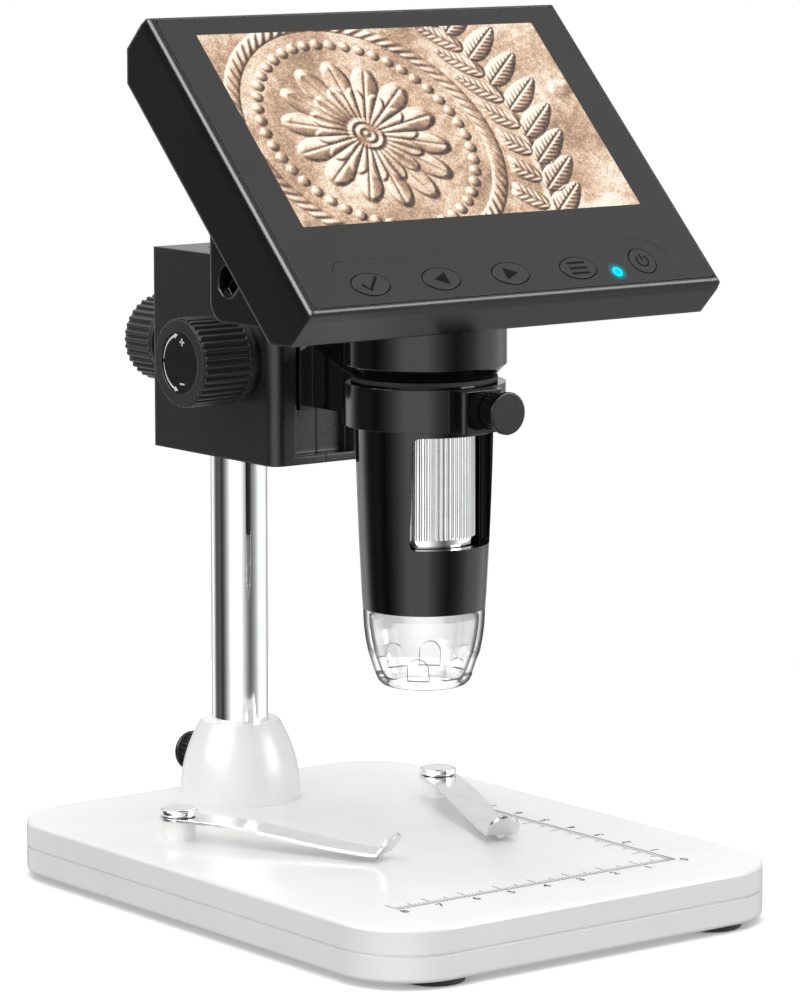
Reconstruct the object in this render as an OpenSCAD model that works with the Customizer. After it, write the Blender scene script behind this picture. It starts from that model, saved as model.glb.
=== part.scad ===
// Digital microscope with a tilted 4.3 inch screen head on a pole stand.
// Millimetres. X is to the user's right, Y to the back, Z up.
// The feet stand on z = 0 and the whole object is centred on x = 0, y = 0.

/* [Stand base] */
// Width of the base plate
base_w = 116.2; // [104:0.1:130]
// Depth of the base plate
base_d = 154.6; // [152:0.1:170]
// Plan radius of the base corners
base_r = 17.7; // [10:0.1:22]
// Rounding of the base edges
base_edge = 1.0; // [0.6:0.1:2.5]
// Height of the lower cover
base_low_h = 6.3; // [5.5:0.1:9]
// Height of the upper cover
base_top_h = 5.9; // [5:0.1:8]
// Wall of the base covers
base_wall = 2.2; // [1.6:0.1:2.8]
// How far the rubber feet stand out
foot_h = 1.5; // [1:0.1:3]
// Radius of a rubber foot
foot_r = 7.0; // [5:0.1:7.5]

/* [Pole and socket] */
// Radius of the pole
pole_r = 6.87; // [6:0.01:7.5]
// Distance of the pole behind the middle of the base
pole_y = 58.8; // [55:0.1:60]
// Wall of the pole tube
pole_wall = 1.3; // [1:0.1:2.5]
// Running clearance round the pole
pole_gap = 0.08; // [0.03:0.01:0.1]
// Height of the dome that holds the pole
dome_h = 19.2; // [16:0.1:24]
// Radius of the dome at its foot
dome_r = 14.6; // [13:0.1:17]
// Radius of the dome's curved side
dome_arc = 34.0; // [30:0.5:45]

/* [Stage clips] */
// Half the distance between the two clip posts
clip_x = 38.4; // [30:0.1:44]
// Distance of the clip posts behind the middle of the base
clip_y = 29.8; // [20:0.1:34]
// Height of the clip posts
clip_post_h = 4.4; // [3.6:0.1:6]
// Width of a clip strip at its pin
clip_w = 8.7; // [6:0.1:9]
// Width of a clip strip at its turned-up tip
clip_tip_w = 7.4; // [5:0.1:8]
// How far the end of a strip stays above the stage
clip_lift = 1.5; // [1:0.1:2.2]
// Thickness of a clip strip
clip_t = 0.7; // [0.5:0.05:1]
// Length of a clip from its pin to its turned-up tip
clip_len = 53.4; // [44:0.1:54]
// Angle of the left clip towards the middle
clip_left_turn = 25.0; // [20:0.5:34]
// Angle of the right clip towards the middle
clip_right_turn = 22.0; // [16:0.5:34]

/* [Focus block] */
// Width of the block
block_w = 30.0; // [28:0.1:34]
// Distance of the block's front face behind the middle of the base
block_front = 23.8; // [22:0.1:26]
// Distance of the block's back face behind the middle of the base
block_back = 72.5; // [70:0.1:76]
// Height of the block's underside
block_z0 = 99.6; // [98:0.1:104]
// Height of the block's top face
block_z1 = 147.7; // [145:0.1:152]
// Radius of the block's front edges
block_r = 3.0; // [1.5:0.1:4]
// Width of the slide recess
recess_w = 16.9; // [15:0.1:18]
// Depth of the slide recess
recess_d = 3.7; // [3:0.1:4.5]
// Distance of the focus shaft behind the middle of the base
shaft_y = 38.4; // [38:0.1:39]
// Height of the focus shaft
shaft_z = 124.0; // [123:0.1:125]
// Radius of the focus shaft
shaft_r = 2.5; // [2:0.05:3]
// How far the focus slide can rise
focus_travel = 9.0; // [4:0.5:9]

/* [Hand knobs] */
// Outer radius of the large knobs
knob_r = 10.7; // [9:0.1:12]
// Length of a focus knob
knob_l = 14.7; // [12:0.1:18]
// Length of the height lock's knob
rear_knob_l = 11.7; // [9:0.1:15]
// Number of ribs round a large knob
knob_ribs = 36; // [24:2:48]
// Radius of the small lock knobs' disc
lock_r = 4.85; // [4:0.05:6]
// Length of a small lock knob
lock_l = 5.4; // [4.5:0.1:8]

/* [Arm and ring] */
// Outer radius of the clamp ring
ring_r = 18.65; // [18:0.05:20]
// Height of the ring's underside
ring_z0 = 113.0; // [112:0.1:115]
// Height of the ring's top
ring_z1 = 122.7; // [121:0.1:124]
// Thickness of the arm's web
arm_t = 7.6; // [6:0.1:10]

/* [Microscope barrel] */
// Distance of the barrel axis in front of the middle of the base
barrel_y = 14.0; // [13:0.1:15]
// Radius of the barrel in the ring
neck_r = 15.9; // [15:0.05:16.5]
// Radius of the barrel at its lower end
barrel_tip_r = 14.1; // [13:0.05:15]
// Height of the barrel's lower end
barrel_z0 = 70.45; // [69:0.05:72]
// Radius of the collar above the ring
collar_r = 18.9; // [18:0.1:21]
// Half width of the roller window
window_x = 11.6; // [9:0.1:12]
// Height of the window's lower edge
window_z0 = 85.6; // [84:0.1:90]
// Height of the window's upper edge
window_z1 = 111.4; // [108:0.1:112]
// Radius of the focus roller over its ribs
roller_r = 11.8; // [11:0.1:12]
// Number of ribs round the roller
roller_ribs = 60; // [40:2:72]

/* [Screen head] */
// Width of the head
head_w = 117.0; // [110:0.5:130]
// Height of the head along the screen
head_h = 87.0; // [84:0.5:92]
// Thickness of the head
head_t = 16.4; // [16:0.1:20]
// Chamfer of the head's back edges
head_bevel = 5.5; // [3:0.1:7]
// Tilt of the screen from lying flat
head_tilt = 45; // [40:1:50]
// Width of the front panel
panel_w = 114.0; // [108:0.1:115]
// Height of the front panel
panel_h = 84.2; // [80:0.1:86]
// Width of the visible picture
view_w = 96.2; // [90:0.1:100]
// Height of the visible picture
view_h = 56.6; // [50:0.1:58]
// Half width of the rear housing
housing_x = 44.0; // [40:0.5:50]
// Distance of the rear housing's back wall behind the middle of the base
housing_back = 8.0; // [6:0.1:10]
// Spacing of the four keys
key_pitch = 19.5; // [16:0.1:20]
// How far a key travels when pressed
key_travel = 0.7; // [0.4:0.1:1]

/* [Hidden] */
$fn = 96;
// Gap between neighbours that move past each other
gap = 0.3;
fine = 0.05;
seam_z = foot_h + base_low_h;
top_z = seam_z + base_top_h;
// Place of the height knob on its neck, and the length of the stand over that knob
rear_knob_y = block_back + 8.0;
rear_reach = rear_knob_y + rear_knob_l;
shift_y = (base_d / 2 - rear_reach) / 2;
bore_r = pole_r + pole_gap;
foot_x = base_w / 2 - 18.1;
foot_y = base_d / 2 - 8.3;
lock_z = top_z + 7.9;
clamp_z = block_z0 + 23.7;
strip_z = top_z + clip_post_h + 0.1;
end_z = top_z + clip_lift;
lock_y = 15.7;
clamp_l = block_back - pole_y - bore_r - 0.25;
block_h = block_z1 - block_z0;
// walls of the head and of the housing, the round of its front edge, and its screw posts
head_wall = 2.0;
head_round = 1.25;
post_x = head_w / 2 - 5.5;
post_y = head_h / 2 - 10.5;
head_y = -barrel_y - 5.3;
head_z = 175.5;
// heights on the screen face, from the lower edge of the front panel
panel_low = -panel_h / 2;
view_u = panel_h / 2 - view_h / 2 - 4.9;
key_u = panel_low + 5.6;
power_x = key_pitch * 2 - 0.2;
power_u = panel_low + 6.2;
led_x = power_x - 8.8;
led_u = panel_low + 3.7;
strip_x = 47.1;
strip_top = panel_low + 12.6;
ring_bore_r = neck_r + 0.08;
ring_mid_z = (ring_z0 + ring_z1) / 2;
lock_x = 1.9;
lug_front = -barrel_y - ring_r - 3.95;
slide_x = recess_w / 2 - 1.05;
rack_z0 = shaft_z - 15;
rack_z1 = shaft_z + 10;
gear_m = 0.8;
gear_n = 11;
gear_pitch_r = gear_m * gear_n / 2;
housing_z0 = ring_z1 + 14.8;
housing_z1 = housing_z0 + 32.5;
card_y = housing_back - 3.26;
card_z = housing_z0 + 7.75;
collar_hole = [20, 160, 200, 340];
carrier_r = 9.3;
carrier_z = window_z0 - 8.4;
roller_z0 = window_z0 - 1.4;
roller_z1 = window_z1 + 1.8;
bore_in = 12.6;

// ---------------------------------------------------------------- helpers

// Places a piece that is drawn from the middle of the base plate
module placed() translate([0, shift_y, 0]) children();

// The same, on the vertical axis of the pole
module on_pole() translate([0, pole_y + shift_y, 0]) children();

// The same, on the vertical axis of the barrel
module on_barrel() translate([0, shift_y - barrel_y, 0]) children();

// Screen frame: x across, y up the screen, z out of the screen
module on_screen() translate([0, head_y + shift_y, head_z]) rotate([head_tilt, 0, 0]) children();

// Rounded rectangle, centred
module rrect(w, d, r) {
  union() {
    square([w - 2 * r, d], center = true);
    square([w, d - 2 * r], center = true);
    for (x = [-1, 1], y = [-1, 1])
      translate([x * (w / 2 - r), y * (d / 2 - r)]) circle(r = r);
  }
}

// Rounded plate with a soft upper edge
module soft_plate(w, d, h, r, e) {
  union() {
    linear_extrude(h - e) rrect(w, d, r);
    linear_extrude(h) rrect(w - 2 * e, d - 2 * e, r - e);
    for (x = [-1, 1], y = [-1, 1])
      translate([x * (w / 2 - r), y * (d / 2 - r), h - e])
        rotate_extrude() translate([r - e, 0]) circle(r = e);
    for (y = [-1, 1])
      translate([r - w / 2, y * (d / 2 - e), h - e]) rotate([0, 90, 0]) cylinder(r = e, h = w - 2 * r);
    for (x = [-1, 1])
      translate([x * (w / 2 - e), r - d / 2, h - e]) rotate([-90, 0, 0]) cylinder(r = e, h = d - 2 * r);
  }
}

// Tube from z = 0
module tube(ro, ri, h) {
  difference() {
    cylinder(r = ro, h = h);
    translate([0, 0, -1]) cylinder(r = ri, h = h + 2);
  }
}

// Round button head with a softened rim
module soft_disc(r, h, e) {
  union() {
    cylinder(r = r - e, h = h);
    translate([0, 0, e]) cylinder(r = r, h = h - 2 * e);
    for (z = [e, h - e]) translate([0, 0, z]) rotate_extrude() translate([r - e, 0]) circle(r = e);
  }
}

// Row of round ribs on a drum
module ribbed(r, n, rib, h) {
  linear_extrude(h) union() {
    circle(r = r - rib);
    for (i = [0 : n - 1]) rotate(i * 360 / n) translate([r - rib, 0]) circle(r = rib);
  }
}

// Pan-head screw, head up, underside of the head at z = 0
module screw(r, head_rad, head_ht, len) {
  difference() {
    union() {
      cylinder(r = head_rad, h = head_ht);
      translate([0, 0, -len]) cylinder(r = r, h = len);
    }
    for (a = [0, 90]) rotate(a) translate([-head_rad * 0.62, -0.25, head_ht * 0.45])
      cube([head_rad * 1.24, 0.5, head_ht]);
  }
}

// Large hand knob along +Z: smooth band, ribs, then a rim with a sunk dial face
module big_knob(bore, deep, len) {
  difference() {
    union() {
      cylinder(r = knob_r - 0.35, h = 1.5);
      translate([0, 0, 1.4]) ribbed(knob_r - 0.1, knob_ribs, 0.62, len - 1.9);
      translate([0, 0, 1.4]) cylinder(r = knob_r - 0.75, h = len - 1.4);
    }
    translate([0, 0, -1]) cylinder(r = bore, h = deep + 1);
    translate([0, 0, len - 0.9]) cylinder(r = 7.3, h = 2);
    // coring behind the rim that keeps the moulded wall even
    translate([0, 0, -1]) tube(8.4, 5.2, len - 2.4);
  }
}

// Small lock knob along +Z: ribbed shank below a plain disc
module small_knob(bore) {
  difference() {
    union() {
      ribbed(lock_r - 0.55, 22, 0.36, lock_l - 1.0);
      translate([0, 0, lock_l - 1.1]) soft_disc(lock_r, 1.1, 0.3);
    }
    translate([0, 0, -1]) cylinder(r = bore, h = lock_l - 0.6);
  }
}

// ---------------------------------------------------------------- base

module foot_spots() for (x = [-1, 1], y = [-1, 1]) translate([x * foot_x, y * foot_y]) children();

module base_top_cover() color("#f2f2f0") placed() {
  roof = top_z - base_wall;
  difference() {
    union() {
      translate([0, 0, seam_z]) soft_plate(base_w, base_d, base_top_h, base_r, base_edge);
      for (s = [-1, 1]) translate([s * clip_x, clip_y, top_z - 1]) cylinder(r = 3.9, h = clip_post_h + 1);
    }
    // hollow underside that leaves the walls, the bosses and the ribs
    translate([0, 0, seam_z - 1]) linear_extrude(roof - seam_z + 1) difference() {
      rrect(base_w - 2 * base_wall, base_d - 2 * base_wall, base_r - base_wall);
      foot_spots() circle(r = 4.4);
      for (s = [-1, 1]) translate([s * clip_x, clip_y]) circle(r = 3.9);
      translate([0, pole_y]) circle(r = 14.6);
      for (x = [-26, 0, 26]) translate([x - 0.8, -base_d / 2]) square([1.6, base_d]);
      for (y = [-44, -12, 18]) translate([-base_w / 2, y - 0.8]) square([base_w, 1.6]);
    }
    // the ribs stop short of the weight
    translate([0, -20, seam_z - 1]) linear_extrude(2.0)
      rrect(base_w - 2 * base_wall - 5, base_d - 2 * base_wall - 45, base_r - base_wall - 2.5);
    foot_spots() translate([0, 0, seam_z - 1]) cylinder(r = 1.45, h = roof - seam_z + 0.6);
    translate([0, pole_y, seam_z - 1]) cylinder(r = 9.2, h = base_top_h + 2);
    for (a = [-90, 30, 150]) translate([0, pole_y, seam_z - 1]) rotate(a) translate([11.9, 0]) {
      cylinder(r = 1.45, h = base_top_h + 2);
      cylinder(r = 2.4, h = 3.6);
    }
    for (s = [-1, 1]) translate([s * clip_x, clip_y, top_z - 3]) cylinder(r = 1.95, h = clip_post_h + 4);
  }
}

module base_bottom_cover() color("#f2f2f0") placed() {
  difference() {
    union() {
      difference() {
        // the lower cover ends in a narrow step, which shows as the seam line
        union() {
          translate([0, 0, seam_z - 0.45]) mirror([0, 0, 1])
            soft_plate(base_w, base_d, base_low_h - 0.45, base_r, base_edge);
          translate([0, 0, foot_h + 2]) linear_extrude(base_low_h - 2)
            rrect(base_w - 0.9, base_d - 0.9, base_r - 0.45);
        }
        translate([0, 0, foot_h + 2]) linear_extrude(base_low_h)
          rrect(base_w - 2 * base_wall, base_d - 2 * base_wall, base_r - base_wall);
      }
      foot_spots() translate([0, 0, foot_h + 1]) cylinder(r = 4.4, h = base_low_h - 1);
      for (x = [-1, 1], y = [-1, 1]) translate([x * 30, y * 36 - 4, foot_h + 1]) {
        cylinder(r = 2.0, h = 4.6);
        translate([0, 0, 4.3]) cylinder(r = 3.1, h = 1.0);
      }
      translate([0, pole_y, foot_h + 1]) tube(10.8, 9.2, 3.4);
    }
    foot_spots() {
      translate([0, 0, foot_h - 1]) cylinder(r = foot_r, h = 1.6);
      translate([0, 0, foot_h]) cylinder(r = 3.2, h = 3.0);
      translate([0, 0, foot_h]) cylinder(r = 1.7, h = base_low_h + 2);
    }
  }
}

// Steel plate staked onto four pegs, so the raised head can't tip the stand
module base_weight() color("#8d9092") placed() {
  difference() {
    translate([0, -4, foot_h + 2]) linear_extrude(3.3) rrect(base_w - 30.2, base_d - 60.6, 5);
    for (x = [-1, 1], y = [-1, 1]) translate([x * 30, y * 36 - 4, foot_h]) cylinder(r = 2.0, h = 8);
    translate([0, -4, foot_h]) linear_extrude(8) rrect(26, 40, 4);
  }
}

module base_feet() color("#1b1b1b") placed() foot_spots() {
  difference() {
    union() {
      cylinder(r = foot_r - 0.6, h = foot_h + 0.6);
      translate([0, 0, 0.6]) cylinder(r = foot_r, h = foot_h);
      translate([0, 0, 0.6]) rotate_extrude() translate([foot_r - 0.6, 0]) circle(r = 0.6);
    }
    translate([0, 0, -1]) cylinder(r = 3.4, h = 1.5);
  }
}

module base_screws() color("#b9bcc0") placed() {
  foot_spots() translate([0, 0, foot_h + 3.0]) mirror([0, 0, 1]) screw(1.45, 2.8, 1.8, 6.2);
  for (a = [-90, 30, 150]) translate([0, pole_y, seam_z + 2.6]) rotate(a) translate([11.9, 0])
    mirror([0, 0, 1]) screw(1.45, 2.3, 1.5, 8.5);
}

// Domed boss over the pole's foot
module pole_socket() color("#f2f2f0") on_pole() {
  difference() {
    translate([0, 0, top_z]) rotate_extrude() intersection() {
      translate([dome_r - dome_arc, 1.3]) circle(r = dome_arc);
      translate([bore_r, 0]) square([dome_r, dome_h]);
    }
    translate([0, 0, lock_z]) rotate([-90, 0, 0]) cylinder(r = 3.0, h = 20);
    for (a = [-90, 30, 150]) rotate(a) translate([11.9, 0, top_z - 1]) cylinder(r = 1.45, h = 6.8);
  }
}

// Turned cup that carries the pole's weight down to the lower cover
module socket_cup() color("#a9abae") on_pole() {
  translate([0, 0, foot_h + 2]) difference() {
    cylinder(r = 9.2, h = top_z - foot_h - 2);
    translate([0, 0, 2.5]) cylinder(r = bore_r, h = 20);
  }
}

module socket_insert() color("#c8a24a") on_pole() {
  translate([0, bore_r + 0.35, lock_z]) rotate([-90, 0, 0]) tube(3.0, 1.98, 6.4);
}

module socket_lock_screw() color("#b9bcc0") on_pole() {
  translate([0, pole_r + 0.35, lock_z]) rotate([-90, 0, 0])
    cylinder(r = 1.93, h = lock_y + lock_l - 1.7 - pole_r - 0.35);
}

module socket_lock_knob() color("#141414") on_pole() {
  translate([0, lock_y, lock_z]) rotate([-90, 0, 0]) small_knob(1.93);
}

module clip_pins() color("#c9cbce") placed() {
  for (s = [-1, 1]) translate([s * clip_x, clip_y, 0]) {
    translate([0, 0, strip_z + clip_t + 0.1]) soft_disc(clip_w / 2, 1.8, 0.6);
    translate([0, 0, top_z - 3]) cylinder(r = 1.95, h = clip_post_h + 4.2);
  }
}

// Spring strip: flat round end on the pin, a long wave down to the stage, and a turned-up tip
function strip_path() = concat(
  [[0, strip_z]],
  [for (i = [0 : 16]) let (k = i / 16)
    [10 + (clip_len - 10) * k, end_z + (strip_z - end_z) * (1 + cos(180 * k)) / 2]],
  [[clip_len + 0.55, end_z + 0.25], [clip_len + 1.0, end_z + 0.75], [clip_len + 4.9, end_z + 5.6]]);

module clip_strip() {
  path = strip_path();
  n = len(path);
  outline = concat(path, [for (i = [n - 1 : -1 : 0]) [path[i][0] + (i > n - 4 ? -0.5 : 0),
    path[i][1] + (i > n - 4 ? 0.5 : clip_t)]]);
  r = clip_tip_w / 2;
  difference() {
    union() {
      intersection() {
        translate([-clip_w / 2, 0, 0]) rotate([90, 0, 90]) linear_extrude(clip_w)
          mirror([1, 0]) polygon(outline);
        // taper of the strip, and the round end of its tip
        union() {
          linear_extrude(end_z + 20) polygon([[-clip_w / 2, 0], [clip_w / 2, 0],
            [r, -clip_len - 0.4], [-r, -clip_len - 0.4]]);
          translate([0, -clip_len, end_z]) rotate([-50, 0, 0]) translate([0, 0, -3]) linear_extrude(6) union() {
            translate([0, r - 6.6]) circle(r = r);
            translate([-r, r - 6.6]) square([clip_tip_w, 6.6 - r + 0.6]);
          }
        }
      }
      translate([0, 0, strip_z]) cylinder(r = clip_w / 2 + 0.25, h = clip_t);
      // pressed dimple that bears on the specimen
      intersection() {
        translate([0, 0.9 - clip_len, end_z + 0.1]) sphere(r = clip_lift - gap + 0.1);
        translate([-r, -clip_len - 3, top_z]) cube([2 * r, 8, clip_lift + 0.2]);
      }
    }
    translate([0, 0, strip_z - 1]) cylinder(r = 2.0, h = 4);
  }
}

module clip_left() color("#c6c8ca") placed() {
  translate([-clip_x, clip_y, 0]) rotate(clip_left_turn) clip_strip();
}

module clip_right() color("#c6c8ca") placed() {
  translate([clip_x, clip_y, 0]) rotate(-clip_right_turn) clip_strip();
}

// ---------------------------------------------------------------- pole and block

module pole() color("#d7d9db") on_pole() {
  translate([0, 0, foot_h + 4.8]) tube(pole_r, pole_r - pole_wall, block_z1 - 1.2 - foot_h - 4.8);
}

module pole_cap() color("#1a1a1a") on_pole() {
  translate([0, 0, block_z1 - 1.2]) cylinder(r = pole_r, h = 0.9);
  translate([0, 0, block_z1 - 7.2]) tube(pole_r - pole_wall, pole_r - pole_wall - 1.2, 6.2);
}

// Plan of the block, with its two round front edges
module block_plan() {
  union() {
    translate([-block_w / 2, block_front + block_r]) square([block_w, block_back - block_front - block_r]);
    translate([-block_w / 2 + block_r, block_front]) square([block_w - 2 * block_r, block_r + 1]);
    for (s = [-1, 1]) translate([s * (block_w / 2 - block_r), block_front + block_r]) circle(r = block_r);
  }
}

module block_screw_spots() {
  low = block_z0 + 5.2;
  high = block_z1 - 5.1;
  for (p = [[block_front + 8, low], [block_back - 3.9, low], [block_back - 3.9, high], [pole_y - 11.6, high],
    [pole_y - 12.2, low]])
    translate([0, p[0], p[1]]) rotate([0, 90, 0]) children();
}

module block_body() {
  inner = recess_d + 2.4;
  difference() {
    translate([0, 0, block_z0]) linear_extrude(block_z1 - block_z0) block_plan();
    translate([0, pole_y, block_z0 - 1]) cylinder(r = bore_r, h = block_h + 2);
    // open recess in front for the focus slide
    translate([-recess_w / 2, block_front - 1, block_z0 + 2])
      cube([recess_w, recess_d + 1, block_h]);
    // gear chamber, with the ribs round the screws left standing
    difference() {
      translate([-block_w / 2 + 2.4, block_front + inner, block_z0 + 2.6])
        cube([block_w - 4.8, pole_y - bore_r - 3.35 - block_front - inner, block_h - 5.2]);
      block_screw_spots() translate([0, 0, -20]) cylinder(r = 3.2, h = 40);
    }
    // slot through which the slide reaches the rack
    translate([-3.1, block_front + 1, ring_z0 + 0.7]) cube([6.2, inner, 20.3 + focus_travel + 0.4]);
    // shaft bushes and the clamp insert
    translate([-block_w, shaft_y, shaft_z]) rotate([0, 90, 0]) cylinder(r = 4.2, h = 2 * block_w);
    translate([0, block_back - clamp_l, clamp_z]) rotate([-90, 0, 0]) cylinder(r = 4.0, h = clamp_l + 1);
    translate([0, pole_y, clamp_z]) rotate([-90, 0, 0]) cylinder(r = 2.6, h = 20);
    block_screw_spots() translate([0, 0, -12.2]) cylinder(r = 1.3, h = 40);
  }
}

module block_left_shell() color("#1d1d1e") placed() {
  intersection() {
    block_body();
    translate([-block_w, 0, block_z0 - 1]) cube([block_w - 0.06, block_back + 1, block_h + 2]);
  }
}

module block_right_shell() color("#1d1d1e") placed() {
  difference() {
    intersection() {
      block_body();
      translate([0.06, 0, block_z0 - 1]) cube([block_w, block_back + 1, block_h + 2]);
    }
    block_screw_spots() translate([0, 0, block_w / 2 - 2.2]) cylinder(r = 2.4, h = 5);
  }
}

module block_screws() color("#3a3b3d") placed() {
  block_screw_spots() translate([0, 0, block_w / 2 - 2.2]) screw(1.3, 2.3, 1.5, 20);
}

module shaft_bushes() color("#c8a24a") placed() {
  for (x = [-block_w / 2, block_w / 2 - 2.6]) translate([x, shaft_y, shaft_z]) rotate([0, 90, 0])
    tube(4.2, shaft_r + fine, 2.6);
}

// Plain black collars between the block and the focus knobs
module knob_collars() color("#0e0e0f") placed() {
  for (s = [0, 1]) mirror([s, 0, 0]) translate([-block_w / 2 - 1.5, shaft_y, shaft_z]) rotate([0, 90, 0])
    tube(knob_r - 0.5, shaft_r + 1.0, 1.5);
}

module clamp_insert() color("#c8a24a") placed() {
  translate([0, block_back - clamp_l, clamp_z]) rotate([-90, 0, 0]) tube(4.0, 2.54, clamp_l);
}

module height_screw() color("#b9bcc0") placed() {
  translate([0, pole_y + pole_r + 0.35, clamp_z]) rotate([-90, 0, 0])
    cylinder(r = 2.5, h = rear_knob_y + 8.0 - pole_y - pole_r);
}

module height_knob() color("#3c3c3d") placed() {
  translate([0, rear_knob_y, clamp_z]) rotate([-90, 0, 0]) {
    big_knob(2.5, rear_knob_l - 2.7, rear_knob_l);
    translate([0, 0, gap - 8.0]) tube(6.4, 2.5, 8.0);
  }
}

module focus_shaft() color("#b9bcc0") placed() {
  translate([-block_w / 2 - 12.8, shaft_y, shaft_z]) rotate([0, 90, 0])
    cylinder(r = shaft_r, h = block_w + 25.6);
}

module gear_tooth(root, tip, w0, w1) {
  polygon([[root - 0.6, -w0 / 2], [tip, -w1 / 2], [tip, w1 / 2], [root - 0.6, w0 / 2]]);
}

module focus_pinion() color("#c8a24a") placed() {
  translate([-3, shaft_y, shaft_z]) rotate([0, 90, 0]) linear_extrude(6) difference() {
    union() {
      circle(r = gear_pitch_r - 1.0);
      for (i = [0 : gear_n - 1]) rotate((i + 0.5) * 360 / gear_n - 90)
        gear_tooth(gear_pitch_r - 1.0, gear_pitch_r + 0.7, 1.75, 0.62);
    }
    circle(r = shaft_r);
  }
}

module focus_side(s) mirror([s, 0, 0])
  translate([-block_w / 2 - 1.8, shaft_y, shaft_z]) rotate([0, -90, 0]) children();

module focus_knob_left() color("#3c3c3d") placed() focus_side(0) big_knob(shaft_r, 11.0, knob_l);

module focus_knob_right() color("#3c3c3d") placed() focus_side(1) big_knob(shaft_r, 11.0, knob_l);

module focus_dial_left() color("#232324") placed() focus_side(0)
  translate([0, 0, knob_l - 0.9]) cylinder(r = 7.25, h = 0.7);

module focus_dial_right() color("#232324") placed() focus_side(1)
  translate([0, 0, knob_l - 0.9]) cylinder(r = 7.25, h = 0.7);

// ---------------------------------------------------------------- slide, arm and ring

module slide_arm() color("#1f1f20") placed() {
  plate_top = block_z1 - 1.5;
  difference() {
    union() {
      // slide plate in the recess
      translate([-slide_x, block_front, ring_z0]) cube([2 * slide_x, recess_d - gap, plate_top - ring_z0]);
      // tongue through the slot and the keeper behind the wall
      translate([-2.7, block_front + 2, ring_z0 + 1.0]) cube([5.4, recess_d + 2.4, 20]);
      translate([-6, block_front + recess_d + 2.4 + gap, rack_z0]) cube([12, 2.0, rack_z1 - rack_z0]);
      // arm web with its long curved gusset
      difference() {
        translate([-arm_t / 2, -barrel_y + 10, ring_z0])
          cube([arm_t, block_front + barrel_y - 9.5, 22]);
        translate([-20, -barrel_y - 2.4, ring_z1 + 85.8]) rotate([0, 90, 0]) cylinder(r = 90, h = 40, $fn = 240);
      }
      // ring
      translate([0, -barrel_y, ring_z0]) cylinder(r = ring_r, h = ring_z1 - ring_z0);
      // lug for the lock screw, with two round front edges
      translate([-6.5 + 1.2, lug_front, ring_z0]) cube([9.3, 12, ring_z1 - ring_z0]);
      translate([-6.5, lug_front + 1.2, ring_z0]) cube([11.7, 12, ring_z1 - ring_z0]);
      for (x = [-5.3, 4.0]) translate([x, lug_front + 1.2, ring_z0]) cylinder(r = 1.2, h = ring_z1 - ring_z0);
      // small end stop under the slide
      translate([-slide_x + 0.3, block_front + 0.4, ring_z0 - 0.6]) cube([2.7, 2.6, 1.0]);
    }
    translate([0, -barrel_y, ring_z0 - 1]) cylinder(r = ring_bore_r, h = 20);
    translate([lock_x, lug_front - 1, ring_mid_z]) rotate([-90, 0, 0]) cylinder(r = 3.0, h = 7.0);
    translate([lock_x, lug_front - 1, ring_mid_z]) rotate([-90, 0, 0]) cylinder(r = 2.2, h = 14);
  }
}

module focus_rack() color("#c8a24a") placed() {
  pitch = PI * gear_m;
  y0 = block_front + recess_d + 4.4 + gap;
  translate([-2.5, 0, 0]) difference() {
    union() {
      translate([0, y0, rack_z0]) cube([5, shaft_y - gear_pitch_r - 1.0 - y0, rack_z1 - rack_z0]);
      for (i = [-6 : 4]) translate([0, shaft_y - gear_pitch_r, shaft_z + i * pitch])
        rotate([90, 0, 90]) linear_extrude(5)
          polygon([[-1.2, -0.95], [0.7, -0.3], [0.7, 0.3], [-1.2, 0.95]]);
    }
    translate([-1, 0, rack_z1]) cube([10, 90, 20]);
    translate([-1, 0, rack_z0 - 20]) cube([10, 90, 20]);
  }
}

module ring_insert() color("#c8a24a") placed() {
  translate([lock_x, lug_front, ring_mid_z]) rotate([-90, 0, 0]) tube(3.0, 1.98, 6.0);
}

module ring_lock_screw() color("#b9bcc0") placed() {
  tip = -barrel_y - sqrt(neck_r * neck_r - lock_x * lock_x) - 0.45;
  translate([lock_x, lug_front - 4.0, ring_mid_z]) rotate([-90, 0, 0])
    cylinder(r = 1.93, h = tip - lug_front + 4.0);
}

module ring_lock_knob() color("#1d1d1e") placed() {
  translate([lock_x, lug_front - gap, ring_mid_z]) rotate([90, 0, 0]) small_knob(1.93);
}

// ---------------------------------------------------------------- screen head

// Side outline of the head in the screen frame, from the front face to the bevelled back
module head_side(inset) {
  h = head_h / 2 - inset;
  t = head_t - inset;
  b = head_bevel - inset * 0.41;
  rotate([90, 0, 90]) linear_extrude(head_w - 2 * inset, center = true)
    polygon([[-h, 0], [h, 0], [h, b - t], [h - b, -t], [b - h, -t], [-h, b - t]]);
}

// What the front edge loses on one side: a slight draught down to the bezel's line, then a round
module edge_cut(w, len) {
  x = w / 2 - 0.2;
  r = head_round;
  rotate([90, 0, 0]) linear_extrude(len, center = true) union() {
    polygon([[w / 2, -2.9], [w / 2 + 2, -2.9], [w / 2 + 2, 1], [x, 1], [x, -r]]);
    difference() {
      translate([x - r, -r]) square(r + 1);
      translate([x - r, -r]) circle(r = r);
    }
  }
}

module front_round() for (a = [0, 180]) {
  rotate(a) edge_cut(head_w, 2 * head_h);
  rotate(a + 90) edge_cut(head_h, 2 * head_w);
}

module housing_outline(inset) {
  r = 4.5;
  rotate([90, 0, 90]) linear_extrude(2 * (housing_x - inset), center = true) union() {
    translate([head_y - 18.7 + inset, housing_z0 + inset])
      square([18.7 - head_y + housing_back - r - inset, housing_z1 - housing_z0 - 2 * inset]);
    translate([0, housing_z0 + r]) square([housing_back - inset, housing_z1 - housing_z0 - 2 * r]);
    for (z = [housing_z0 + r, housing_z1 - r]) translate([housing_back - r, z]) circle(r = r - inset);
  }
}

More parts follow.
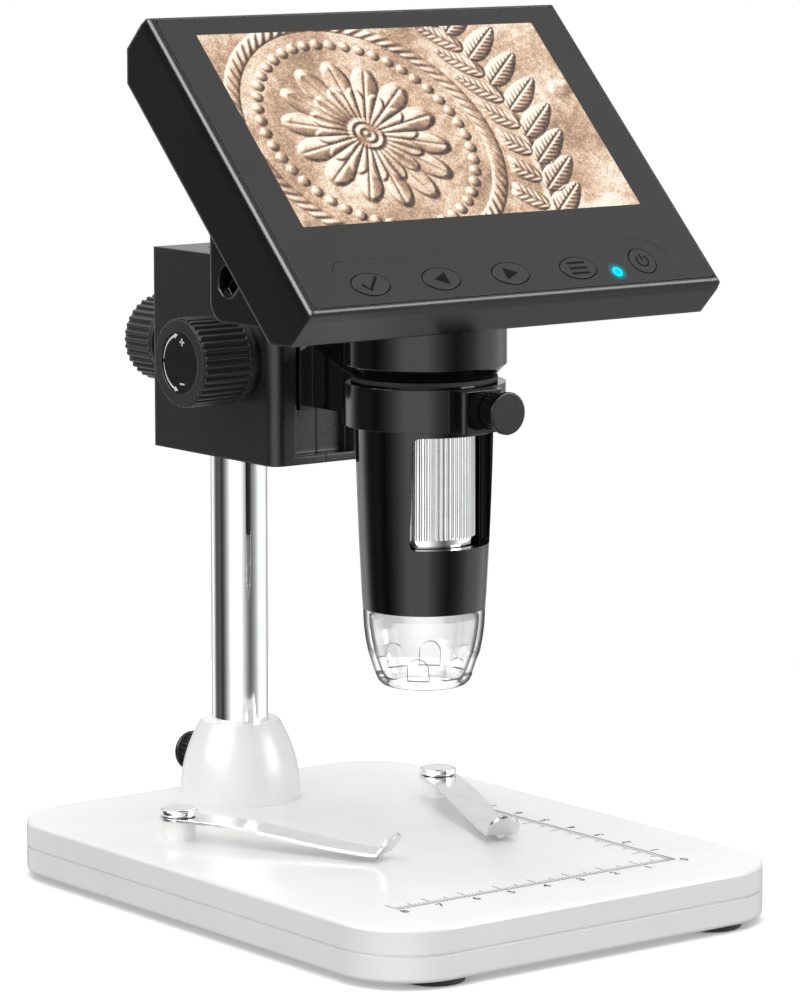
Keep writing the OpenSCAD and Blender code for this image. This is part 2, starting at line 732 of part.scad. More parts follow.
// Slanted opening for the card in the left side of the housing, with one well-rounded corner
module card_opening(deep) {
  translate([-housing_x, card_y, card_z]) rotate([45, 0, 0])
    translate([-1, 0, 0]) rotate([90, 0, 90]) linear_extrude(deep + 1) union() {
      translate([-1.4, 3.6]) circle(r = 3.6);
      translate([-1.4, 0]) square([1.4, 9.6]);
      translate([-5.0, 3.6]) square([5.0, 6.0]);
    }
}

module head_shell() color("#262627") {
  difference() {
    union() {
      on_screen() head_side(0);
      placed() difference() {
        housing_outline(0);
        translate([0, head_y, head_z]) rotate([head_tilt, 0, 0]) translate([-80, -80, -head_t + 1]) cube([160, 160, 90]);
      }
    }
    on_screen() {
      front_round();
      // seat of the front panel and the main cavity
      translate([0, 0, -1.6]) linear_extrude(5) rrect(panel_w, panel_h, 1.2);
      difference() {
        head_side(head_wall);
        translate([-head_w, -head_h, -3.4]) cube([2 * head_w, 2 * head_h, 10]);
        for (x = [-1, 1], y = [-1, 1]) translate([x * post_x, y * post_y, -head_t]) cylinder(r = 3.3, h = head_t - 3.8);
      }
      translate([0, 0, -6]) linear_extrude(6) rrect(panel_w - 4, panel_h - 1.8, 1.2);
      for (x = [-1, 1], y = [-1, 1]) translate([x * post_x, y * post_y, -head_t - 1]) {
        cylinder(r = 2.9, h = 3.2);
        cylinder(r = 1.6, h = head_t - 3.4);
      }
    }
    placed() {
      difference() {
        housing_outline(head_wall);
        translate([0, head_y, head_z]) rotate([head_tilt, 0, 0]) translate([-80, -80, -head_t + 1.5]) cube([160, 160, 90]);
      }
      // way through for the cables, and the opening to the barrel
      translate([4 - housing_x, head_y - 14.7, housing_z0 + 8.5]) cube([2 * housing_x - 8, 38, 12]);
      translate([0, -barrel_y, housing_z0 - 5]) cylinder(r = 9, h = 20);
      for (a = collar_hole) translate([0, -barrel_y, housing_z0 - 5]) rotate(a)
        translate([13.5, 0]) cylinder(r = 1.4, h = 20);
      card_opening(4);
    }
  }
}

module front_panel() color("#4a4a48") on_screen() {
  difference() {
    translate([0, 0, -1.5]) linear_extrude(1.5) rrect(panel_w - 0.5, panel_h - 0.5, 0.95);
    translate([0, view_u, -3]) linear_extrude(5) rrect(view_w, view_h, 0.4);
    translate([0, 0, -3]) linear_extrude(5) strip_outline(0.1);
  }
}

// Outline of the key strip, with its two round upper corners
module strip_outline(grow) {
  w = strip_x + grow;
  top = strip_top + grow;
  low = panel_low - (grow > 0 ? 1 : 0);
  union() {
    translate([-w, low]) square([2 * w, top - 7 - low]);
    translate([-w + 4, low]) square([2 * w - 11, top - low]);
    translate([-w, low]) square([8, top - 4 - low]);
    translate([-w + 4, top - 4]) circle(r = 4);
    translate([w - 7, top - 7]) circle(r = 7);
  }
}

module key_shape(i, grow) {
  // oval of four arcs: two wide ones run into two small ones where 3-4-5 triangles meet
  wide_r = 6.86;
  end_r = 2.06;
  end_x = 2.88;
  wide_v = 3.84;
  if (i == 4) circle(r = 3.43 + grow);
  else {
    intersection() {
      translate([0, -wide_v]) circle(r = wide_r + grow);
      translate([0, wide_v]) circle(r = wide_r + grow);
      square([1.2 * (wide_r + grow), 12], center = true);
    }
    for (x = [-1, 1]) translate([x * end_x, 0]) circle(r = end_r + grow);
  }
}

function key_x(i) = i == 4 ? power_x : (i - 2) * key_pitch + 0.05;
function key_v(i) = i == 4 ? power_u : key_u;

module button_strip() color("#50504e") on_screen() {
  difference() {
    translate([0, 0, -1.5]) linear_extrude(1.5) intersection() {
      strip_outline(0);
      square([panel_w, panel_h - 0.5], center = true);
    }
    for (i = [0 : 4]) translate([key_x(i), key_v(i), -3]) linear_extrude(6) key_shape(i, 0.3);
    translate([led_x, led_u, -3]) cylinder(r = 1.35, h = 6);
  }
}

// One key cap: shaped top, a flange that holds it in, and a stem above its switch
module key_cap(i) color("#4c4c4a") on_screen() translate([key_x(i), key_v(i), 0]) {
  translate([0, 0, -2.6]) linear_extrude(2.7) key_shape(i, 0);
  translate([0, 0, -2.6]) linear_extrude(0.7) key_shape(i, 0.9);
  translate([0, 0, key_travel - 3.7]) cylinder(r = 1.3, h = 1.9 - key_travel);
}

module key_ok() key_cap(0);
module key_left() key_cap(1);
module key_right() key_cap(2);
module key_menu() key_cap(3);
module key_power() key_cap(4);

module display_module() color("#c58b62") on_screen() translate([0, view_u, 0]) {
  // glass that fills the window, on the metal-backed panel
  translate([0, 0, -1.6]) linear_extrude(1.5) rrect(view_w - 0.2, view_h - 0.2, 0.3);
  translate([0, 0, -4.6]) linear_extrude(3.02) rrect(view_w + 5.6, view_h + 5.6, 1);
}

module status_led() color("#19d3e6") on_screen() translate([led_x, led_u, 0]) {
  translate([0, 0, -5.0]) cylinder(r = 1.3, h = 5.0);
  translate([0, 0, -5.0]) cylinder(r = 1.9, h = 1.6);
}

module button_board() color("#1f6b3a") on_screen() {
  translate([-strip_x - 1.9, head_wall + 1.9 - head_h / 2, -6.6]) cube([2 * strip_x + 3.8, 12.4, 1.6]);
  // a push switch under each key
  for (i = [0 : 4]) translate([key_x(i), key_v(i), -5.1]) {
    translate([-1.8, -1.8, 0]) cube([3.6, 3.6, 0.8]);
    cylinder(r = 0.9, h = 1.1);
  }
}

module main_board() color("#1f6b3a") on_screen() {
  translate([10 - panel_w / 2, 18.1 - panel_h / 2, -9.6]) cube([panel_w - 20, panel_h - 26.2, 1.6]);
  // shielded processor, memory, power parts and the cable socket
  translate([-20, -2, -8.1]) cube([16, 16, 1.4]);
  translate([4, 2, -8.1]) cube([10, 12, 1.2]);
  translate([24, -8, -8.1]) cube([7, 7, 2.6]);
  translate([36, -8, -8.1]) cube([5, 8, 1.8]);
  translate([-8, -23, -12.1]) cube([16, 4.5, 2.6]);
}

module battery() color("#7d8488") placed() {
  translate([-28, housing_back - 11.0, housing_z0 + 3.0]) cube([56, 8.0, 23]);
}

module card_socket() color("#9a9da0") placed() {
  translate([-housing_x, card_y, card_z]) rotate([45, 0, 0]) {
    // sheet-metal shell behind the opening, with the card slot in its face
    difference() {
      translate([2.0, -5.4, 0.1]) cube([11, 5.1, 9.3]);
      translate([1, -5.0, 0.6]) cube([10, 1.6, 8.3]);
      translate([1, -2.9, 0.6]) cube([9, 2.1, 8.3]);
    }
  }
}

module head_screws() color("#3a3b3d") {
  on_screen() for (x = [-1, 1], y = [-1, 1]) translate([x * post_x, y * post_y, 2.2 - head_t])
    mirror([0, 0, 1]) screw(1.6, 2.7, 1.6, 9);
  // four inside the housing, down into the collar
  on_barrel() for (a = collar_hole) rotate(a) translate([13.5, 0, housing_z0 + 2.0]) screw(1.4, 2.2, 1.2, 3.9);
}

// ---------------------------------------------------------------- barrel

module barrel_collar() color("#1f1f20") on_barrel() {
  low = ring_z1 + 1.3;
  difference() {
    rotate_extrude() polygon([[neck_r, low], [neck_r + 0.15, low], [collar_r, low + 2.95],
      [collar_r, housing_z0], [9, housing_z0], [9, housing_z0 - 2.5], [neck_r, housing_z0 - 2.5]]);
    for (a = collar_hole) rotate(a) translate([13.5, 0, housing_z0 - 5]) cylinder(r = 1.4, h = 10);
  }
}

// Soft ring on the neck, on which the head rests
module seat_ring() color("#2a2a2b") on_barrel() {
  translate([0, 0, ring_z1 + gap]) tube(neck_r + 0.9, neck_r, 1.0);
}

module barrel_shell() color("#1c1c1d") on_barrel() {
  top = housing_z0 - 2.5;
  difference() {
    rotate_extrude() polygon([[barrel_tip_r, barrel_z0], [barrel_tip_r + 0.25, barrel_z0 + 3.4],
      [barrel_tip_r + 0.85, barrel_z0 + 14.9], [barrel_tip_r + 1.3, barrel_z0 + 26],
      [neck_r - 0.28, barrel_z0 + 32.4], [neck_r - 0.1, ring_z0 - 2], [neck_r, ring_z0],
      [neck_r, top], [bore_in - 0.2, top], [bore_in - 0.2, roller_z1 + 0.4], [bore_in, roller_z1 + 0.2],
      [bore_in, roller_z0 - gap], [11.4, roller_z0 - gap], [11.4, roller_z0 - 2.4],
      [bore_in, roller_z0 - 2.4], [bore_in, barrel_z0]]);
    // window that bares the roller
    translate([-window_x, -30, window_z0 + 1.4]) cube([2 * window_x, 23, window_z1 - window_z0 - 2.8]);
    translate([-window_x + 1.4, -30, window_z0]) cube([2 * window_x - 2.8, 23, window_z1 - window_z0]);
    for (x = [-1, 1], z = [window_z0 + 1.4, window_z1 - 1.4]) translate([x * (window_x - 1.4), -7, z])
      rotate([90, 0, 0]) cylinder(r = 1.4, h = 23);
    // keyway that stops the lens carrier turning
    translate([-1.1, 11, carrier_z - 3.5]) cube([2.2, 2.4, 8.6]);
  }
}

module focus_roller() color("#c9ccd0") on_barrel() {
  difference() {
    union() {
      translate([0, 0, roller_z0]) cylinder(r = roller_r - 0.15, h = 3.4);
      translate([0, 0, roller_z0 + 3.2]) ribbed(roller_r, roller_ribs, 0.42, roller_z1 - roller_z0 - 3.2);
      translate([0, 0, roller_z0 + 3]) cylinder(r = roller_r - 0.5, h = roller_z1 - roller_z0 - 3);
    }
    translate([0, 0, 80]) cylinder(r = carrier_r + fine, h = 50);
  }
}

module lens_carrier() color("#2b2c2e") on_barrel() {
  difference() {
    union() {
      translate([0, 0, carrier_z]) cylinder(r = carrier_r, h = 29);
      // foot flange with the key that runs in the barrel's keyway
      translate([0, 0, carrier_z]) cylinder(r = 10.6, h = 1.6);
      translate([-0.95, 9, carrier_z]) cube([1.9, 4.1, 1.6]);
    }
    translate([0, 0, carrier_z - 6.5]) cylinder(r = 6.6, h = 12.5);
    translate([0, 0, carrier_z + 5.5]) cylinder(r = 4.0, h = 6);
    translate([0, 0, carrier_z + 8.5]) cylinder(r = 8.0, h = 40);
  }
}

module objective_lens() color("#9fb6c4") on_barrel() {
  translate([0, 0, carrier_z + 0.7]) intersection() {
    cylinder(r = 6.6, h = 5);
    translate([0, 0, 16]) sphere(r = 16);
  }
}

module sensor_board() color("#1f6b3a") on_barrel() {
  z = roller_z1 + 1.4;
  translate([0, 0, z]) cylinder(r = bore_in - 0.2, h = 1.6);
  translate([-5, -5, z - 1.2]) cube([10, 10, 1.3]);
  translate([-6, 4.2, z + 1.4]) cube([12, 4, 2.4]);
}

module led_board() color("#e8e8e6") on_barrel() {
  translate([0, 0, barrel_z0 + 2.1]) tube(bore_in - fine, 7.4, 1.2);
}

module led_lamps() color("#f6f4e8") on_barrel() {
  for (a = [0 : 45 : 315]) rotate(a + 22.5) translate([9.5, 0, barrel_z0 + 0.9]) {
    cylinder(r = 1.2, h = 1.2);
    sphere(r = 1.2);
  }
}

// Wall of the hood: distance outside the barrel's tip radius, and height over the barrel's end.
// It runs up the outer side, over the spigot that fits in the barrel, and down the inner side.
function shield_wall() = [
  [-5.1, -18.0], [-4.4, -17.7], [-3.6, -16.9], [-2.95, -15.6], [-2.3, -13.8], [-1.7, -11.9],
  [-1.15, -9.9], [-0.62, -7.2], [-0.27, -4.5], [-0.1, -1.8], [-0.08, -0.02],
  [bore_in - 0.1 - barrel_tip_r, -0.02], [bore_in - 0.1 - barrel_tip_r, 2.1],
  [bore_in - 1.3 - barrel_tip_r, 2.1], [bore_in - 1.3 - barrel_tip_r, -0.6],
  [-1.45, -2.0], [-1.6, -4.4], [-1.95, -6.9], [-2.45, -9.4], [-3.0, -11.5], [-3.6, -13.3],
  [-4.3, -15.2], [-5.2, -16.6], [-5.6, -17.2], [-5.6, -18.0]];

// Clear hood: swelling wall, eight arched openings and a plain rim
module clear_shield() color([0.9, 0.95, 0.97, 0.35]) on_barrel() {
  difference() {
    translate([0, 0, barrel_z0]) rotate_extrude() polygon([for (p = shield_wall()) [barrel_tip_r + p[0], p[1]]]);
    for (a = [0 : 45 : 315]) rotate(a) {
      translate([7, -2.45, barrel_z0 - 15.6]) cube([9, 4.9, 2.9]);
      translate([7, 0, barrel_z0 - 12.7]) rotate([0, 90, 0]) cylinder(r = 2.45, h = 9);
    }
  }
}

// ---------------------------------------------------------------- pieces

base_top_cover();
base_bottom_cover();
base_weight();
base_feet();
base_screws();
pole_socket();
socket_cup();
socket_insert();
clip_pins();
socket_lock_screw();
socket_lock_knob();
clip_left();
clip_right();
pole();
pole_cap();
block_left_shell();
block_right_shell();
block_screws();
shaft_bushes();
knob_collars();
clamp_insert();
height_screw();
height_knob();
focus_shaft();
focus_pinion();
focus_knob_left();
focus_dial_left();
focus_knob_right();
focus_dial_right();
slide_arm();
focus_rack();
ring_insert();
ring_lock_screw();
ring_lock_knob();
head_shell();
front_panel();
button_strip();
display_module();
status_led();
button_board();
main_board();
battery();
card_socket();
head_screws();
barrel_collar();
seat_ring();
barrel_shell();
sensor_board();
led_board();
led_lamps();
clear_shield();
key_ok();
key_left();
key_right();
key_menu();
key_power();
focus_roller();
lens_carrier();
objective_lens();
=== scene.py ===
# %% [markdown]
# # A screen microscope on its stand
# This object is a small digital microscope: a tilted screen on a short lit barrel, carried by a
# ring arm, a geared focus block, a bright steel pole and a white ruled stage. The solids come
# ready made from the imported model. Here they get their surfaces, the printed marks, the picture
# on the screen and the light, one cell at a time.

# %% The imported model, and what it measures
import math

import bpy
import numpy as np
from mathutils import Matrix, Vector


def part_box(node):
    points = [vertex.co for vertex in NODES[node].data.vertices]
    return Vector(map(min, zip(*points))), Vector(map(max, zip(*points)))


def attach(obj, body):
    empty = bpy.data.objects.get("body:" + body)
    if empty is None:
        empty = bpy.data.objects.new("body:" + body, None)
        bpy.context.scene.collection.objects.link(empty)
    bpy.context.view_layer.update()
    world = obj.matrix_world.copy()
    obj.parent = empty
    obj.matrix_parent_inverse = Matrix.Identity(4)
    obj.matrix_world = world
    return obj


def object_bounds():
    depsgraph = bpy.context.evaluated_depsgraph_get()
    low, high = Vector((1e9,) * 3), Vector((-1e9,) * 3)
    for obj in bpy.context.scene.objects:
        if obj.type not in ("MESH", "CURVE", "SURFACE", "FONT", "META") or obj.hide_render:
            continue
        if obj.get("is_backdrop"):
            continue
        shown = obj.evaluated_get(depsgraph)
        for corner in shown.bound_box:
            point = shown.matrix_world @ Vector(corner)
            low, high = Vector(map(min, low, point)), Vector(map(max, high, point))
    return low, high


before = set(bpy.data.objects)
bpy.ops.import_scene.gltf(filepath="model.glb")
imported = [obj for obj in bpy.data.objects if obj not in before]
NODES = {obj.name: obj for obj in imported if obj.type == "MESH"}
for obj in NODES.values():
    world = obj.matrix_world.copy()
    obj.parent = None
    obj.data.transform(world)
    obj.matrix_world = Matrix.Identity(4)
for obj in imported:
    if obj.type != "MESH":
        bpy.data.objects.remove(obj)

cad_box = [list(corner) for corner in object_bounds()]
MM = 0.001
print("box (m):", np.round(cad_box, 4).tolist())

# %% [markdown]
# ## One frame for all sizes
# The solids are drawn from the middle of the stand's base, and the whole model is then moved so
# that its box is centred. The base's own middle could be typed in as a number. It is read back
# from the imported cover, so that a change of the model's length moves the printed marks too.

# %% The middle of the base, the stage surface and the screen's own axes
base_low, base_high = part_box("base_top_cover")
SHIFT_Y = (base_low.y + base_high.y) / 2 / MM
STAGE_Z = 13.7
HEAD_Y, HEAD_Z, TILT = -19.3 + SHIFT_Y, 175.5, math.radians(45)
print("base middle at y =", round(SHIFT_Y, 3), "mm")


def on_screen(points):
    """Screen points (u across, v up the screen, w out of it, in mm) to metres in the model.
    The point is turned by the tilt about X and then moved to the middle of the screen face."""
    u, v, w = np.moveaxis(np.asarray(points, float), -1, 0)
    c, s = math.cos(TILT), math.sin(TILT)
    return np.stack([u, HEAD_Y + c * v - s * w, HEAD_Z + s * v + c * w], -1) * MM


def on_stage(points):
    """Points on the base (x, y from its middle, z from the floor, in mm) to metres in the model."""
    return (np.asarray(points, float) + [0, SHIFT_Y, 0]) * MM


# %% [markdown]
# ## Camera
# The view is that of a long lens, a little above the stage and well to the left of the front. A
# lens of about 168 mm keeps the upright edges nearly parallel, as in a catalogue picture. A
# constraint could aim the camera. Its axes are written into its matrix instead, because they are
# then exact and the picture stays level.

# %% Camera
YAW, PITCH = math.radians(37.552), math.radians(8.551)
EYE = np.array([-647.14, -854.16, 253.72]) * MM
LENS_MM, SENSOR_MM = 167.77, 36.0
NEAR, FAR = 0.05, 30


def make_camera():
    """A camera at EYE that looks along (sin yaw cos pitch, cos yaw cos pitch, -sin pitch). Its
    right is that way crossed with up, and its own up is right crossed with the way."""
    level = math.cos(PITCH)
    look = np.array([math.sin(YAW) * level, math.cos(YAW) * level, -math.sin(PITCH)])
    right = np.cross(look, [0, 0, 1])
    right /= np.linalg.norm(right)
    data = bpy.data.cameras.new("camera")
    data.sensor_fit, data.sensor_height, data.lens = "VERTICAL", SENSOR_MM, LENS_MM
    data.clip_start, data.clip_end = NEAR, FAR
    matrix = np.eye(4)
    matrix[:3] = np.stack([right, np.cross(right, look), -look, EYE], 1)
    camera = bpy.data.objects.new("camera", data)
    camera.matrix_world = Matrix(matrix.tolist())
    bpy.context.scene.collection.objects.link(camera)
    bpy.context.scene.camera = camera


make_camera()
print("camera at", np.round(EYE, 3).tolist(), "lens", LENS_MM, "mm")

# %% [markdown]
# ## Helpers for materials
# A material is a small net of nodes. It could be drawn by hand in the shader editor, but written
# down it can be read and changed in one place. One function starts an empty net, one adds a node
# with its settings and its links, and one turns the usual web colours (sRGB hex) into the linear
# values that a renderer adds up.


# %% Colour and node helpers
def linear(code):
    """sRGB hex to linear: below 0.04045 a division by 12.92, above it a power of 2.4."""
    value = np.array([int(code[i:i + 2], 16) for i in (1, 3, 5)]) / 255.0
    value = np.where(value <= 0.04045, value / 12.92, ((value + 0.055) / 1.055) ** 2.4)
    return (*value.tolist(), 1.0)


def blank(name):
    """A new material and its net of nodes, emptied."""
    material = bpy.data.materials.new(name)
    material.use_nodes = True
    material.node_tree.nodes.clear()
    return material, material.node_tree


def add(tree, kind, inputs=None, stops=(), **settings):
    """Adds one node. settings are the node's own properties, inputs are numbers, colours or other
    nodes' outputs, and stops are the (position, colour) pairs of a colour ramp."""
    node = tree.nodes.new("ShaderNode" + kind)
    for key, value in settings.items():
        setattr(node, key, value)
    for key, value in (inputs or {}).items():
        if isinstance(value, bpy.types.NodeSocket):
            tree.links.new(value, node.inputs[key])
        else:
            node.inputs[key].default_value = value
    if stops:
        elements = node.color_ramp.elements
        while len(elements) < len(stops):
            elements.new(0.5)
        for element, (place, colour) in zip(elements, stops):
            element.position, element.color = place, colour
    return node


# Blender's noise seldom leaves this range, so a change from one tone to another spans it.
LOW, HIGH = 0.3, 0.7
print("the web colour #808080 is", round(linear("#808080")[0], 3), "in linear light")

# %% [markdown]
# ## Moulded plastics
# Most of the object is injection-moulded ABS. A moulded surface is never quite even: its colour
# drifts a little over centimetres, the spark-eroded tool leaves a fine grain, and its gloss changes
# with the grain. The real grain is about a tenth of a millimetre; here it is two to five times
# coarser, so that it shows. An image of plastic could be wrapped round each piece. Noise in the
# piece's own coordinates needs no unwrapping, and its scale is a real size in millimetres. The
# same recipe serves each colour.

# %% Recipe for a moulded or painted surface
PATCH_MM = 18


def moulded(name, colour, drift, rough, grain_mm=0.35, relief_mm=0.004, edge_mm=0.25, ior=1.54,
            specular=0.5):
    """Colour drifts between two near tones over PATCH_MM, gloss varies with the grain, and edges
    that the tool leaves slightly round catch the light, by a normal averaged over edge_mm. A cell
    of the noise holds about two grains."""
    material, tree = blank(name)
    where = add(tree, "TexCoord").outputs["Object"]
    patch = add(tree, "TexNoise", {"Vector": where, "Scale": 1 / (PATCH_MM * MM),
                                   "Detail": 3.0}).outputs["Fac"]
    grain = add(tree, "TexNoise", {"Vector": where, "Scale": 1 / (grain_mm * 2 * MM),
                                   "Detail": 2.0}).outputs["Fac"]
    tone = add(tree, "ValToRGB", {"Fac": patch},
               [(LOW, linear(colour)), (HIGH, linear(drift))]).outputs["Color"]
    gloss = add(tree, "MapRange", {"Value": grain, "From Min": LOW, "From Max": HIGH,
                                   "To Min": rough[0], "To Max": rough[1]}).outputs["Result"]
    edge = add(tree, "Bevel", {"Radius": edge_mm * MM}, samples=6).outputs["Normal"]
    bump = add(tree, "Bump", {"Height": grain, "Strength": 1.0, "Distance": relief_mm * MM,
                              "Normal": edge}).outputs["Normal"]
    shader = add(tree, "BsdfPrincipled", {"Base Color": tone, "Roughness": gloss, "Normal": bump,
                                          "IOR": ior, "Specular IOR Level": specular})
    add(tree, "OutputMaterial", {"Surface": shader.outputs["BSDF"]})
    return material


# %% The moulded finishes
# White ABS from a polished tool: an even, softly glossy white.
white_abs = moulded("moulded_ABS_white", "#f9f9f8", "#f4f4f3", (0.28, 0.34), relief_mm=0.0006)
# Black ABS with a fine eroded grain: a dull sheen, broad along the rounded edges.
block_abs = moulded("moulded_ABS_black_block", "#1c1c1d", "#202021", (0.26, 0.34),
                    grain_mm=0.3, relief_mm=0.0015, edge_mm=0.7)
# Black ABS from a polished tool: deep black with nearly sharp highlights.
arm_abs = moulded("moulded_ABS_black_arm", "#0d0d0e", "#111112", (0.08, 0.13),
                  grain_mm=0.3, relief_mm=0.0005)
# Black ABS at half gloss: soft bands of light along the housing's chamfers.
head_abs = moulded("moulded_ABS_black_head", "#0e0e0f", "#121213", (0.17, 0.23),
                   grain_mm=0.25, relief_mm=0.001, edge_mm=0.9)
# Black ABS at high gloss: it takes its form from what it mirrors.
barrel_abs = moulded("moulded_ABS_black_gloss", "#060606", "#090909", (0.06, 0.10),
                     grain_mm=0.5, relief_mm=0.0003)
# Polyester film printed grey on its back: flat, even and a little milky.
panel_film = moulded("printed_polyester_film_grey", "#171716", "#1b1b1a", (0.32, 0.38),
                     grain_mm=0.2, relief_mm=0.001, edge_mm=0.12)
# Grey ABS keys: near the film's grey, with a slightly duller face.
key_abs = moulded("moulded_key_grey", "#1f1f1f", "#232322", (0.34, 0.40),
                  grain_mm=0.2, relief_mm=0.001)
# Dark grey ABS knobs: paler than the block, so that their ribs read as light lines.
knob_abs = moulded("moulded_knob_grey", "#313132", "#373738", (0.20, 0.27),
                   grain_mm=0.25, relief_mm=0.001)
# Black ABS trim: dark, with short highlights.
trim_abs = moulded("moulded_trim_black", "#0c0c0d", "#111112", (0.18, 0.25), relief_mm=0.0006)
# Moulded rubber feet and seat: dull black with hardly a highlight.
rubber = moulded("moulded_rubber_black", "#141414", "#1a1a1a", (0.62, 0.75),
                 grain_mm=0.5, relief_mm=0.02, ior=1.52)
# Silicone rubber deep in a gap: a near-black line that mirrors almost nothing, used as painted
# shade in the gaps round the keys.
gap_shade = moulded("gap_shade_rubber_black", "#040404", "#070707", (0.55, 0.65),
                   edge_mm=0.02, specular=0.12)
moulded_set = (white_abs, block_abs, arm_abs, head_abs, barrel_abs, panel_film, key_abs, knob_abs,
               trim_abs, rubber, gap_shade)
print("moulded:", [material.name for material in moulded_set])

# %% [markdown]
# ## Metals
# The pole is chromed steel tube, polished, so it shows little but the room. The clips are bright
# rolled spring strip, a little duller, which widens their highlights. The screws, bushes and the
# rack are plain turned steel and brass. Each could be one flat colour with one gloss, but clean
# metal still has faint clouds from plating and handling, so both drift a little over some
# millimetres.

# %% Recipe for a metal
CLOUD_MM = 6


def metal(name, colour, drift, rough, edge_mm=0.2):
    """Polished, rolled or turned metal: its tone and its gloss follow the same clouds, and its
    edges are rounded by a normal averaged over edge_mm."""
    material, tree = blank(name)
    where = add(tree, "TexCoord").outputs["Object"]
    cloud = add(tree, "TexNoise", {"Vector": where, "Scale": 1 / (CLOUD_MM * MM),
                                   "Detail": 3.0}).outputs["Fac"]
    tone = add(tree, "ValToRGB", {"Fac": cloud},
               [(LOW, linear(colour)), (HIGH, linear(drift))]).outputs["Color"]
    gloss = add(tree, "MapRange", {"Value": cloud, "From Min": LOW, "From Max": HIGH,
                                   "To Min": rough[0], "To Max": rough[1]}).outputs["Result"]
    edge = add(tree, "Bevel", {"Radius": edge_mm * MM}, samples=4).outputs["Normal"]
    shader = add(tree, "BsdfPrincipled", {"Base Color": tone, "Roughness": gloss, "Metallic": 1.0,
                                          "Normal": edge})
    add(tree, "OutputMaterial", {"Surface": shader.outputs["BSDF"]})
    return material


# %% The metals
# Chromed steel, polished: a dark mirror between bright bands.
chrome = metal("chrome_plated_steel_polished", "#f4f5f5", "#eeefef", (0.04, 0.08))
# Rolled spring steel: bright, with wider and softer highlights than chrome.
spring = metal("rolled_spring_steel", "#e8e9ea", "#e0e1e2", (0.14, 0.20), edge_mm=0.15)
# Turned steel: grey with a satin gloss.
steel = metal("turned_steel", "#b8babd", "#a5a8ab", (0.25, 0.35))
# Blackened steel screws: nearly black, with a grey glint in the recess.
dark_steel = metal("blackened_steel", "#2a2b2d", "#333436", (0.35, 0.45))
# Turned brass: warm yellow, satin.
brass = metal("turned_brass", "#c9a35c", "#b88f47", (0.22, 0.32))
# Bright turned aluminium: almost white, and sharp enough to part the roller's fine ribs.
aluminium = metal("bright_turned_aluminium", "#f1f1f2", "#e8e9ea", (0.06, 0.10), edge_mm=0.08)
metal_set = (chrome, spring, steel, dark_steel, brass, aluminium)
print("metals:", [material.name for material in metal_set])

# %% [markdown]
# ## Clear parts and lamps
# The hood is clear polycarbonate. It could be a solid glass shader, which bends the light twice.
# Its wall is thin, so light goes almost straight through it where it faces the eye, and is lost or
# mirrored where it turns away: there the wall looks grey. The hood is therefore a straight
# pass-through, darker by angle, under a thin mirror layer. The small lens is thick, and bends the
# light as glass does.

# %% Recipes for clear plastic, lens glass and lamps
HAZE_MM = 5
RESIN_MM = 1.5


def clear(name, colour, rough, ior):
    """A solid clear material: all of the light goes through, bent by the index of refraction."""
    material, tree = blank(name)
    where = add(tree, "TexCoord").outputs["Object"]
    haze = add(tree, "TexNoise", {"Vector": where, "Scale": 1 / (HAZE_MM * MM),
                                  "Detail": 2.0}).outputs["Fac"]
    gloss = add(tree, "MapRange", {"Value": haze, "To Min": rough[0],
                                   "To Max": rough[1]}).outputs["Result"]
    shader = add(tree, "BsdfPrincipled", {"Base Color": linear(colour), "Roughness": gloss,
                                          "IOR": ior, "Transmission Weight": 1.0})
    add(tree, "OutputMaterial", {"Surface": shader.outputs["BSDF"]})
    return material


def thin_clear(name, tint, rough, ior, mirror_share):
    """A thin clear wall. Layer Weight gives how far the surface turns from the eye: a ramp makes
    the light that passes darker there, and the glossy share grows in the same way."""
    material, tree = blank(name)
    where = add(tree, "TexCoord").outputs["Object"]
    haze = add(tree, "TexNoise", {"Vector": where, "Scale": 1 / (HAZE_MM * MM),
                                  "Detail": 2.0}).outputs["Fac"]
    gloss = add(tree, "MapRange", {"Value": haze, "To Min": rough[0],
                                   "To Max": rough[1]}).outputs["Result"]
    turned = add(tree, "LayerWeight", {"Blend": 0.5}).outputs["Facing"]
    shade = add(tree, "ValToRGB", {"Fac": turned},
                [(stop, linear(colour)) for stop, colour in tint]).outputs["Color"]
    through = add(tree, "BsdfTransparent", {"Color": shade}).outputs["BSDF"]
    mirror = add(tree, "BsdfAnisotropic", {"Color": linear("#ffffff"),
                                           "Roughness": gloss}).outputs["BSDF"]
    fresnel = add(tree, "Fresnel", {"IOR": ior}).outputs["Fac"]
    share = add(tree, "Math", {0: fresnel, 1: mirror_share}, operation="MULTIPLY").outputs["Value"]
    mix = add(tree, "MixShader", {0: share, 1: through, 2: mirror}).outputs["Shader"]
    add(tree, "OutputMaterial", {"Surface": mix})
    return material


def glowing(name, colour, drift, strength):
    """A lamp's lens: light of nearly one colour from a glossy dome of slightly uneven resin."""
    material, tree = blank(name)
    where = add(tree, "TexCoord").outputs["Object"]
    spread = add(tree, "TexNoise", {"Vector": where,
                                    "Scale": 1 / (RESIN_MM * MM)}).outputs["Fac"]
    tone = add(tree, "ValToRGB", {"Fac": spread},
               [(LOW, linear(colour)), (HIGH, linear(drift))]).outputs["Color"]
    shader = add(tree, "BsdfPrincipled", {"Base Color": tone, "Roughness": 0.25,
                                          "Emission Color": tone, "Emission Strength": strength})
    add(tree, "OutputMaterial", {"Surface": shader.outputs["BSDF"]})
    return material


# %% The clear finishes and the lamps
# Moulded polycarbonate: clear in front, grey towards its outline. The steps let the outline and
# the inner wall show as thin grey lines.
HOOD_TINT = [(0.0, "#ffffff"), (0.06, "#fcfcfc"), (0.2, "#f6f6f6"), (0.42, "#fcfcfc"),
             (0.6, "#f2f2f2"), (0.76, "#868788"), (1.0, "#08090a")]
clear_pc = thin_clear("moulded_polycarbonate_clear", HOOD_TINT, (0.02, 0.07), 1.58, 0.3)
